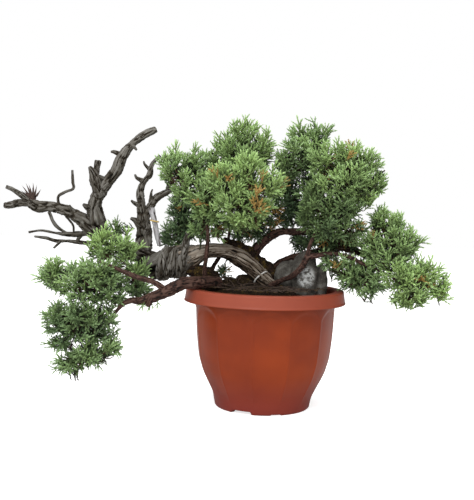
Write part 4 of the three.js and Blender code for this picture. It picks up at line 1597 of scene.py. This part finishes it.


# each pad's tone and shade: partly the needles' own hue, partly painted shade at the back and underneath and
# painted sunlight in front
PAD_STYLES = {
    "foliage_left_top": PadStyle(0.62, 0.5),
    "foliage_left_outer": PadStyle(0.42, 0.1),
    "foliage_left_middle": PadStyle(0.42, 0.3, shade=0.95),
    "foliage_left_inner": PadStyle(0.36, 0.3, shade=0.85),
    "foliage_left_low": PadStyle(0.30, 0.0, shade=0.9),
    "foliage_left_tail": PadStyle(0.40, -0.1),
    "foliage_crown_left": PadStyle(0.50, 0.5),
    "foliage_crown_top": PadStyle(0.56, 0.6),
    "foliage_crown_front": PadStyle(0.70, 0.45, 0.02),
    "foliage_crown_low": PadStyle(0.52, 0.1, 0.02, 0.9),
    "foliage_centre_back": PadStyle(0.12, 0.2, shade=0.95),
    "foliage_crown_back": PadStyle(0.16, 0.1, 0.05, shade=0.6),
    "foliage_right_back": PadStyle(0.10, 0.3, shade=0.75),
    "foliage_right_top_left": PadStyle(0.42, 0.6),
    "foliage_right_top": PadStyle(0.46, 0.6),
    "foliage_right_crown": PadStyle(0.58, 0.45),
    "foliage_right_middle": PadStyle(0.34, 0.2, 0.01, 0.74),
    "foliage_right_under": PadStyle(0.30, -0.2, 0.06, 0.7),
    "foliage_right_spray": PadStyle(0.08, -0.6, shade=0.6),
    "foliage_right_inner": PadStyle(0.34, 0.1, shade=0.9),
    "foliage_right_low": PadStyle(0.50, 0.35),
    "foliage_right_front": PadStyle(0.64, 0.35, 0.004, 1.02),
    "foliage_right_tip": PadStyle(0.86, 0.2, 0.02, 1.25),
    "foliage_arch_sprig": PadStyle(0.15, 0.3, shade=0.8),
    "foliage_left_sprig": PadStyle(0.25, 0.6, shade=0.8),
}


@dataclass(frozen=True)
class Spray:
    """A template of one juniper spray, along +Z: a main shoot with side shoots, set with needles."""

    seed: int
    length: float = 0.023
    side_shoots: int = 4
    needles_per_metre: float = 1000
    needle: float = 0.0040
    needle_width: float = 0.00090

    def shoot(self, start: np.ndarray, ahead: np.ndarray, length: float,
              rng: np.random.Generator) -> Template:
        """Needles along a straight shoot.

        Needle i stands at the golden angle times i about the shoot, leaning out by an angle that
        closes towards the tip. Each is a closed spike of four points.

        Args:
            start: where the shoot starts.
            ahead: its direction.
            length: how long it is.
            rng: the source of what varies.

        Returns:
            Points, triangles and age, which grows along the shoot and along each needle.
        """
        count = max(6, int(length * self.needles_per_metre))
        t = (np.arange(count) + 0.5) / count
        turn = np.arange(count) * GOLDEN_ANGLE + rng.random() * TURN
        side = unit(np.cross(ahead, [0.3, 0.9, 0.1]))
        across = np.cross(ahead, side)
        out = np.cos(turn)[:, None] * side + np.sin(turn)[:, None] * across
        lean = (0.72 - 0.42 * t + rng.normal(0, 0.08, count))[:, None]
        point = unit(np.cos(lean) * ahead + np.sin(lean) * out)
        foot = start + ahead * (length * t[:, None])
        long = self.needle * (0.75 + 0.25 * np.sin(math.pi * t) + rng.normal(0, 0.06, count))[:, None]
        wide = self.needle_width * np.cross(ahead, out)
        upper = foot + ahead * self.needle_width * 2
        corners = np.stack([foot + wide, foot - wide, upper, foot + point * long], 1)
        base = np.arange(count)[:, None, None] * 4
        spike = np.array([[0, 1, 2], [0, 3, 1], [1, 3, 2], [2, 3, 0]])
        age = np.stack([0.20 + 0.40 * t] * 3 + [0.46 + 0.54 * t], axis=1)
        return corners.reshape(-1, 3), (base + spike).reshape(-1, 3), age.ravel()

    def build(self) -> Template:
        """The whole spray, bent a little to one side.

        Returns:
            Its shoots' points, triangles and age.
        """
        rng = np.random.default_rng(self.seed)
        shoots = [(np.zeros(3), UP, self.length)]
        for k in range(self.side_shoots):
            at = 0.18 + 0.55 * (k + rng.random() * 0.5) / self.side_shoots
            turn = k * GOLDEN_ANGLE + rng.random()
            lean = 0.45 + rng.random() * 0.35
            aside = math.sin(lean)
            ahead = np.array([aside * math.cos(turn), aside * math.sin(turn), math.cos(lean)])
            length = self.length * (0.62 - 0.35 * at + 0.12 * rng.random())
            shoots.append((UP * self.length * at, ahead, length))
        parts = [self.shoot(*each, rng) for each in shoots]
        starts = np.cumsum([0] + [len(p[0]) for p in parts[:-1]])
        bend = rng.normal(0, 5.0, 2)
        points = np.concatenate([p[0] for p in parts])
        points[:, :2] += bend * points[:, 2:] ** 2
        triangles = np.concatenate([p[1] + s for p, s in zip(parts, starts)])
        a, b, c = (points[triangles[0::4, k]] for k in range(3))
        tip = points[triangles[1::4, 1]]
        inside_out = np.einsum("ij,ij->i", np.cross(b - a, c - a), tip - a).sum() > 0
        if inside_out:
            triangles = triangles[:, ::-1]
        return points, triangles, np.concatenate([p[2] for p in parts])


@dataclass
class Foliage:
    """All the foliage: sprays set over the pads' solids, with twigs behind them."""

    spacing: float = 0.0087
    reach: float = 0.021
    inner_sink: float = 0.020
    inner_share: float = 0.3
    tuft: float = 0.021
    outward: float = 0.7
    upward: float = 0.2
    splay: float = 0.30
    scatter: float = 0.15
    templates: int = 32
    withered_tone: float = 0.97
    withered_patches: Sequence[tuple[float, float, float, float]] = (
        (-0.003, -0.092, 0.322, 0.020), (0.022, 0.0, 0.292, 0.022),
    )
    strays: Sequence[tuple[Sequence[float], Sequence[float], float]] = (
        ((-0.166, -0.072, 0.171), (-0.25, -0.3, -0.9), 0.9),
        ((-0.176, -0.072, 0.166), (-0.5, -0.3, -0.8), 0.8),
        ((-0.158, -0.072, 0.170), (0.1, -0.4, -0.9), 0.7),
    )
    strays_on: str = "foliage_left_inner"
    seed: int = 11

    def triangles_of(self, name: str) -> np.ndarray:
        """Reads a CAD node's triangles.

        Args:
            name: the node.

        Returns:
            Count x 3 x 3 points.
        """
        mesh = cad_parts[name].data
        mesh.calc_loop_triangles()
        points = np.zeros(len(mesh.vertices) * 3)
        mesh.vertices.foreach_get("co", points)
        corners = np.zeros(len(mesh.loop_triangles) * 3, np.int32)
        mesh.loop_triangles.foreach_get("vertices", corners)
        return points.reshape(-1, 3)[corners].reshape(-1, 3, 3)

    def anchors(self, triangles: np.ndarray, tree: BVHTree,
                rng: np.random.Generator) -> tuple[np.ndarray, np.ndarray]:
        """Evenly spread places on a pad's open surface.

        Places are drawn by area, those that face a neighbouring solid are dropped, and each that is
        left is kept only if it is a spacing away from every one kept before.

        Args:
            triangles: the pad's.
            tree: the triangles of all the pads, to look for neighbours in.
            rng: the source of the draws.

        Returns:
            The places and the directions out of the pad there.
        """
        a, b, c = triangles[:, 0], triangles[:, 1], triangles[:, 2]
        across = np.cross(b - a, c - a)
        area = np.linalg.norm(across, axis=1)
        draws = int(area.sum() / 2 / self.spacing**2 * 6)
        pick = rng.choice(len(area), draws, p=area / area.sum())
        u, v = np.sqrt(rng.random((draws, 1))), rng.random((draws, 1))
        place = (1 - u) * a[pick] + u * (1 - v) * b[pick] + u * v * c[pick]
        out = unit(across[pick])
        kept: list[int] = []
        kept_places = np.zeros((draws, 3))
        for k in range(draws):
            taken = kept_places[:len(kept)]
            if len(kept) and np.min(np.sum((taken - place[k]) ** 2, axis=1)) < self.spacing**2:
                continue
            if tree.ray_cast(Vector(place[k] + out[k] * 5e-5), Vector(out[k]), 0.005)[0] is not None:
                continue
            kept_places[len(kept)] = place[k]
            kept.append(k)
        middle = place[kept].mean(axis=0)
        outward = unit(0.7 * out[kept] + 0.3 * unit(place[kept] - middle))
        return place[kept], outward

    def sprays(self, base: np.ndarray, ahead: np.ndarray, scale: np.ndarray, tone: np.ndarray,
               shade: np.ndarray, library: Sequence[Template], rng: np.random.Generator) -> Surface:
        """Copies of the templates, each turned to its direction with a random roll.

        Args:
            base: where each spray starts.
            ahead: its direction.
            scale: its size.
            tone: its place across the colour map.
            shade: how far up the colour map it may reach.
            library: the templates.
            rng: the source of the rolls.

        Returns:
            One surface, carrying its place on the colour map.
        """
        roll = rng.random(len(base)) * TURN
        reference = np.where(np.abs(ahead[:, 2:]) < 0.9, UP, np.array([1.0, 0, 0]))
        side = unit(np.cross(reference, ahead))
        other = np.cross(ahead, side)
        first = np.cos(roll)[:, None] * side + np.sin(roll)[:, None] * other
        turn = np.stack([first, np.cross(ahead, first), ahead], axis=-1) * scale[:, None, None]
        which = rng.integers(0, len(library), len(base))
        parts = []
        for k, (points, triangles, age) in enumerate(library):
            mine = np.flatnonzero(which == k)
            if not len(mine):
                continue
            placed = np.einsum("kij,nj->kni", turn[mine], points) + base[mine, None]
            faces = triangles[None] + (np.arange(len(mine)) * len(points))[:, None, None]
            chart = np.stack([
                np.repeat(tone[mine], len(points)),
                (age[None, :] * shade[mine, None]).ravel(),
            ], axis=1)
            parts.append(Surface(placed.reshape(-1, 3), np.zeros((0, 4), np.int64), faces.reshape(-1, 3),
                                 {"OFBake": chart}))
        return Surface.joined(parts)

    def tufts(self, place: np.ndarray, rng: np.random.Generator) -> tuple[np.ndarray, np.ndarray]:
        """Gathers the places into tufts.

        Middles are picked one by one, each a tuft's width from those before. A place's share is 1 at
        the nearest middle and 0 at a tuft's half width from it.

        Args:
            place: the places.
            rng: the source of the order that middles are tried in.

        Returns:
            For each place its share, and the offset from the nearest middle in half widths.
        """
        middles: list[np.ndarray] = []
        for k in rng.permutation(len(place)):
            if not middles or np.min(np.sum((np.array(middles) - place[k]) ** 2, axis=1)) > self.tuft**2:
                middles.append(place[k])
        apart = np.linalg.norm(place[:, None] - np.array(middles)[None], axis=2)
        nearest = np.argmin(apart, axis=1)
        offset = (place - np.array(middles)[nearest]) / (self.tuft * 0.6)
        return np.clip(1 - np.linalg.norm(offset, axis=1), 0, 1), offset

    def twigs(self, base: np.ndarray, rng: np.random.Generator) -> Surface:
        """Thin brown twigs that end at a third of the sprays and start part of the way to the middle.

        Args:
            base: where the sprays start.
            rng: the source of what varies.

        Returns:
            The twigs, at the brown end of the colour map.
        """
        chosen = base[rng.random(len(base)) < 0.33]
        middle = base.mean(axis=0) + np.array([0, 0.006, -0.006])
        inward = (middle - chosen) * rng.uniform(0.3, 0.7, (len(chosen), 1))
        hub = chosen + inward + rng.normal(0, 0.004, chosen.shape)
        halfway = (hub + chosen) / 2 - UP * 0.003 + rng.normal(0, 0.003, chosen.shape)
        count = len(chosen)
        made = rods(hub, halfway, chosen, np.full(count, 0.0013), np.full(count, 0.0007))
        brown = np.column_stack([np.full(len(made.points), 0.4), np.full(len(made.points), 0.04)])
        return Surface(made.points, made.quads, made.triangles, {"OFBake": brown})

    def colours(self, place: np.ndarray, out: np.ndarray, share: np.ndarray, style: PadStyle,
                rng: np.random.Generator) -> tuple[np.ndarray, np.ndarray]:
        """Where each spray reads the colour map.

        Tone is the pad's, with slow noise and a little more on top, and a little nearer the sunlit colours
        where a spray faces up, which is painted light. Shade grows upwards and towards a tuft's middle, so
        that the hollows between tufts are dark.

        Args:
            place: where the sprays are.
            out: the directions out of the pad there.
            share: how near each is to a tuft's middle.
            style: the pad's style.
            rng: the source of what varies.

        Returns:
            Tone and shade for each place.
        """
        count = len(place)
        # tone moves towards the sunlit colours where a spray faces up: painted light
        tone = style.tone + 0.20 * fractal(place, 42, 2, 3) + rng.normal(0, 0.05, count) + 0.08 * out[:, 2]
        tone = np.clip(tone, 0.02, 0.86)
        for *middle, reach in self.withered_patches:
            near = np.linalg.norm(place - np.array(middle), axis=1) < reach
            tone = np.where(near & (rng.random(count) < 0.6), self.withered_tone, tone)
        tone = np.where(rng.random(count) < style.withered, self.withered_tone, tone)
        shade = style.shade * (0.78 + 0.34 * share + 0.12 * out[:, 2] + 0.12 * fractal(place, 60, 2, 8))
        return tone, np.clip(shade, 0.3, 1)

    def pad(self, style: PadStyle, triangles: np.ndarray, tree: BVHTree, library: Sequence[Template],
            rng: np.random.Generator) -> list[Surface]:
        """One pad: an outer layer of sprays, a sparse layer behind it darkened as painted shade, and twigs.

        Args:
            style: the pad's style.
            triangles: its solid's.
            tree: the triangles of all the pads.
            library: the templates.
            rng: the source of what varies.

        Returns:
            The surfaces.
        """
        place, out = self.anchors(triangles, tree, rng)
        count = len(place)
        share, offset = self.tufts(place, rng)
        upward = UP * (style.lift + self.upward)
        scatter = rng.normal(0, self.scatter, out.shape)
        ahead = unit(out * self.outward + upward + self.splay * offset + scatter)
        tone, shade = self.colours(place, out, share, style, rng)
        base = place - ahead * (self.reach + 0.003 - 0.010 * share)[:, None]
        scale = rng.uniform(0.82, 1.15, count)
        outer = self.sprays(base, ahead, scale, tone, shade, library, rng)
        inner = rng.random(count) < self.inner_share
        deep = base[inner] - out[inner] * self.inner_sink
        # the layer behind reads low on the colour map and at half tone: painted shade deep in the pad
        dark = np.full(inner.sum(), 0.42)
        behind = self.sprays(deep, ahead[inner], scale[inner], tone[inner] * 0.5, dark, library, rng)
        return [outer, behind, self.twigs(base, rng)]

    def build(self) -> None:
        """Makes each pad, and the few stray sprays that hang under the left branch."""
        finish = FoliageFinish().build()
        library = [Spray(seed).build() for seed in range(self.templates)]
        solids = {name: self.triangles_of(name) for name in PAD_STYLES}
        everything = np.concatenate(list(solids.values())).reshape(-1, 3)
        faces = np.arange(len(everything)).reshape(-1, 3)
        tree = BVHTree.FromPolygons([Vector(p) for p in everything], faces.tolist())
        for k, (name, style) in enumerate(PAD_STYLES.items()):
            rng = np.random.default_rng(self.seed + k)
            parts = self.pad(style, solids[name], tree, library, rng)
            if name == self.strays_on:
                spot, way, size = (np.array(column, float) for column in zip(*self.strays))
                tone, shade = np.full(len(spot), 0.45), np.ones(len(spot))
                parts.append(self.sprays(spot, unit(way), size, tone, shade, library, rng))
            whole = Surface.joined(parts)
            whole.piece(name.replace("foliage", "needles"), Slot.FOLIAGE, finish, [name], smooth=False)


# ---------------------------------------------------------------- studio
@dataclass
class Studio:
    """Pale floor, soft white light and the camera, a little to the right of the tree's front."""

    camera_place: tuple[float, float, float] = (0, -1.3, 0.30706)
    yaw: float = math.radians(-1.99)
    pitch: float = math.radians(-2.89)
    roll: float = math.radians(1.51)
    lens: float = 60.31
    floor_size: float = 12.0
    bright_side: tuple[float, float, float] = (-0.2, -0.85, 0.5)
    sky_spread: tuple[float, float, float, float] = (-0.15, 0.95, 0.06, 1.5)
    lamps: tuple[tuple[tuple[float, float, float], float, float], ...] = (
        ((-0.5, -1.7, 1.6), 1.0, 13),
        ((0.1, 0.1, 2.0), 1.2, 16),
    )
    lit_point: tuple[float, float, float] = (-0.05, 0, 0.25)

    def camera(self) -> None:
        """Sets the camera: looking along +Y, turned by yaw and pitch, then rolled about its line of sight."""
        ahead = Vector((math.sin(self.yaw) * math.cos(self.pitch), math.cos(self.yaw) * math.cos(self.pitch),
                        math.sin(self.pitch)))
        right = Vector((math.cos(self.yaw), -math.sin(self.yaw), 0))
        above = right.cross(ahead)
        side = right * math.cos(self.roll) + above * math.sin(self.roll)
        top = above * math.cos(self.roll) - right * math.sin(self.roll)
        data = bpy.data.cameras.new("camera")
        data.lens = self.lens
        data.sensor_width = 36
        made = bpy.data.objects.new("camera", data)
        turn = Matrix((side, top, -ahead)).transposed().to_4x4()
        made.matrix_world = Matrix.Translation(self.camera_place) @ turn
        bpy.context.scene.collection.objects.link(made)
        bpy.context.scene.camera = made

    def lights(self) -> None:
        """Adds square lamps that face the tree, and a sky that is white to the eye.

        What the sky gives off as light is strongest from the front and above, and weak from the sides
        and behind, so that the pot and the limbs turn darker towards their edges.
        """
        for place, size, power in self.lamps:
            data = bpy.data.lights.new("lamp", "AREA")
            data.size = size
            data.energy = power
            made = bpy.data.objects.new("lamp", data)
            towards = Vector(self.lit_point) - Vector(place)
            turn = towards.to_track_quat("-Z", "Y").to_matrix().to_4x4()
            made.matrix_world = Matrix.Translation(place) @ turn
            bpy.context.scene.collection.objects.link(made)
        world = bpy.data.worlds.new("sky")
        world.use_nodes = True
        nodes, links = world.node_tree.nodes, world.node_tree.links
        ahead = nodes.new("ShaderNodeTexCoord")
        facing = nodes.new("ShaderNodeVectorMath")
        facing.operation = "DOT_PRODUCT"
        facing.inputs[1].default_value = self.bright_side
        links.new(ahead.outputs["Generated"], facing.inputs[0])
        spread = nodes.new("ShaderNodeMapRange")
        spread.interpolation_type = "SMOOTHSTEP"
        for key, number in zip(("From Min", "From Max", "To Min", "To Max"), self.sky_spread):
            spread.inputs[key].default_value = number
        links.new(facing.outputs["Value"], spread.inputs["Value"])
        seen = nodes.new("ShaderNodeLightPath")
        strength = nodes.new("ShaderNodeMix")
        links.new(seen.outputs["Is Camera Ray"], strength.inputs[0])
        links.new(spread.outputs["Result"], strength.inputs[2])
        strength.inputs[3].default_value = 1.0
        links.new(strength.outputs[0], nodes["Background"].inputs["Strength"])
        nodes["Background"].inputs["Color"].default_value = (1, 1, 1, 1)
        bpy.context.scene.world = world

    def floor(self) -> None:
        """Lays a large pale floor at the height that the pot stands on.

        It glows white to the eye, and only weakly as a light on the tree.
        """
        g = Graph("pale_floor")
        cloud = g.noise(g.place(), 2, 2)
        seen = g.node("ShaderNodeLightPath", {}, {}, "Is Camera Ray")
        glow = g.mix(seen, (0.12, 0.12, 0.12), (1, 1, 1))
        g.links.new(glow.socket, g.shader.inputs["Emission Color"])
        finish = g.finish(g.mix(cloud, (0.80, 0.80, 0.80), (0.83, 0.83, 0.83)), 0.9, Emission_Strength=0.72)
        half = self.floor_size / 2
        mesh = bpy.data.meshes.new("floor")
        corners = [(-half, -half, 0), (half, -half, 0), (half, half, 0), (-half, half, 0)]
        mesh.from_pydata(corners, [], [(0, 1, 2, 3)])
        mesh.materials.append(finish)
        made = bpy.data.objects.new("floor", mesh)
        bpy.context.scene.collection.objects.link(made)

    def build(self) -> None:
        """Sets the stage."""
        self.camera()
        self.lights()
        self.floor()
        bpy.context.scene.view_settings.view_transform = "Standard"


# ---------------------------------------------------------------- everything
def main() -> None:
    """Builds the stage and the tree in order."""
    logging.basicConfig(level=logging.INFO, format="%(name)s: %(message)s")
    Studio().build()
    Pot().build()
    Ground().build()
    quartz = (0.062, -0.030, 0.204, 0.016)
    Stone("centre", Slot.STONE, ("rock_centre",), quartz=quartz, lump=0.2, seed=2).build()
    Stone("left", Slot.STONE, ("rock_left",), lump=0.16, seed=5).build()
    Stone("slim", Slot.STONE, ("rock_slim",), lump=0.2, seed=9).build()
    for pieces, kind in (
        (DEAD_WOOD_PIECES, DeadWoodFinish), (TRUNK_PIECES, TrunkFinish), (BLEACHED_PIECES, BleachedFinish),
        (MOSSY_PIECES, MossyBarkFinish), (LIVE_PIECES, BarkFinish),
    ):
        finish = kind().build()
        for piece in pieces:
            piece.build(finish)
    ShootFan().build()
    cord = FibreFinish("white_cord", (0.62, 0.61, 0.58), (0.86, 0.85, 0.82), 0.4).build()
    straw = FibreFinish("raffia_strand", (0.42, 0.27, 0.07), (0.68, 0.50, 0.20), 0.8).build()
    WHITE_TIE.build(cord)
    RAFFIA_TIE.build(straw)
    Foliage().build()


if __name__ == "__main__":
    main()
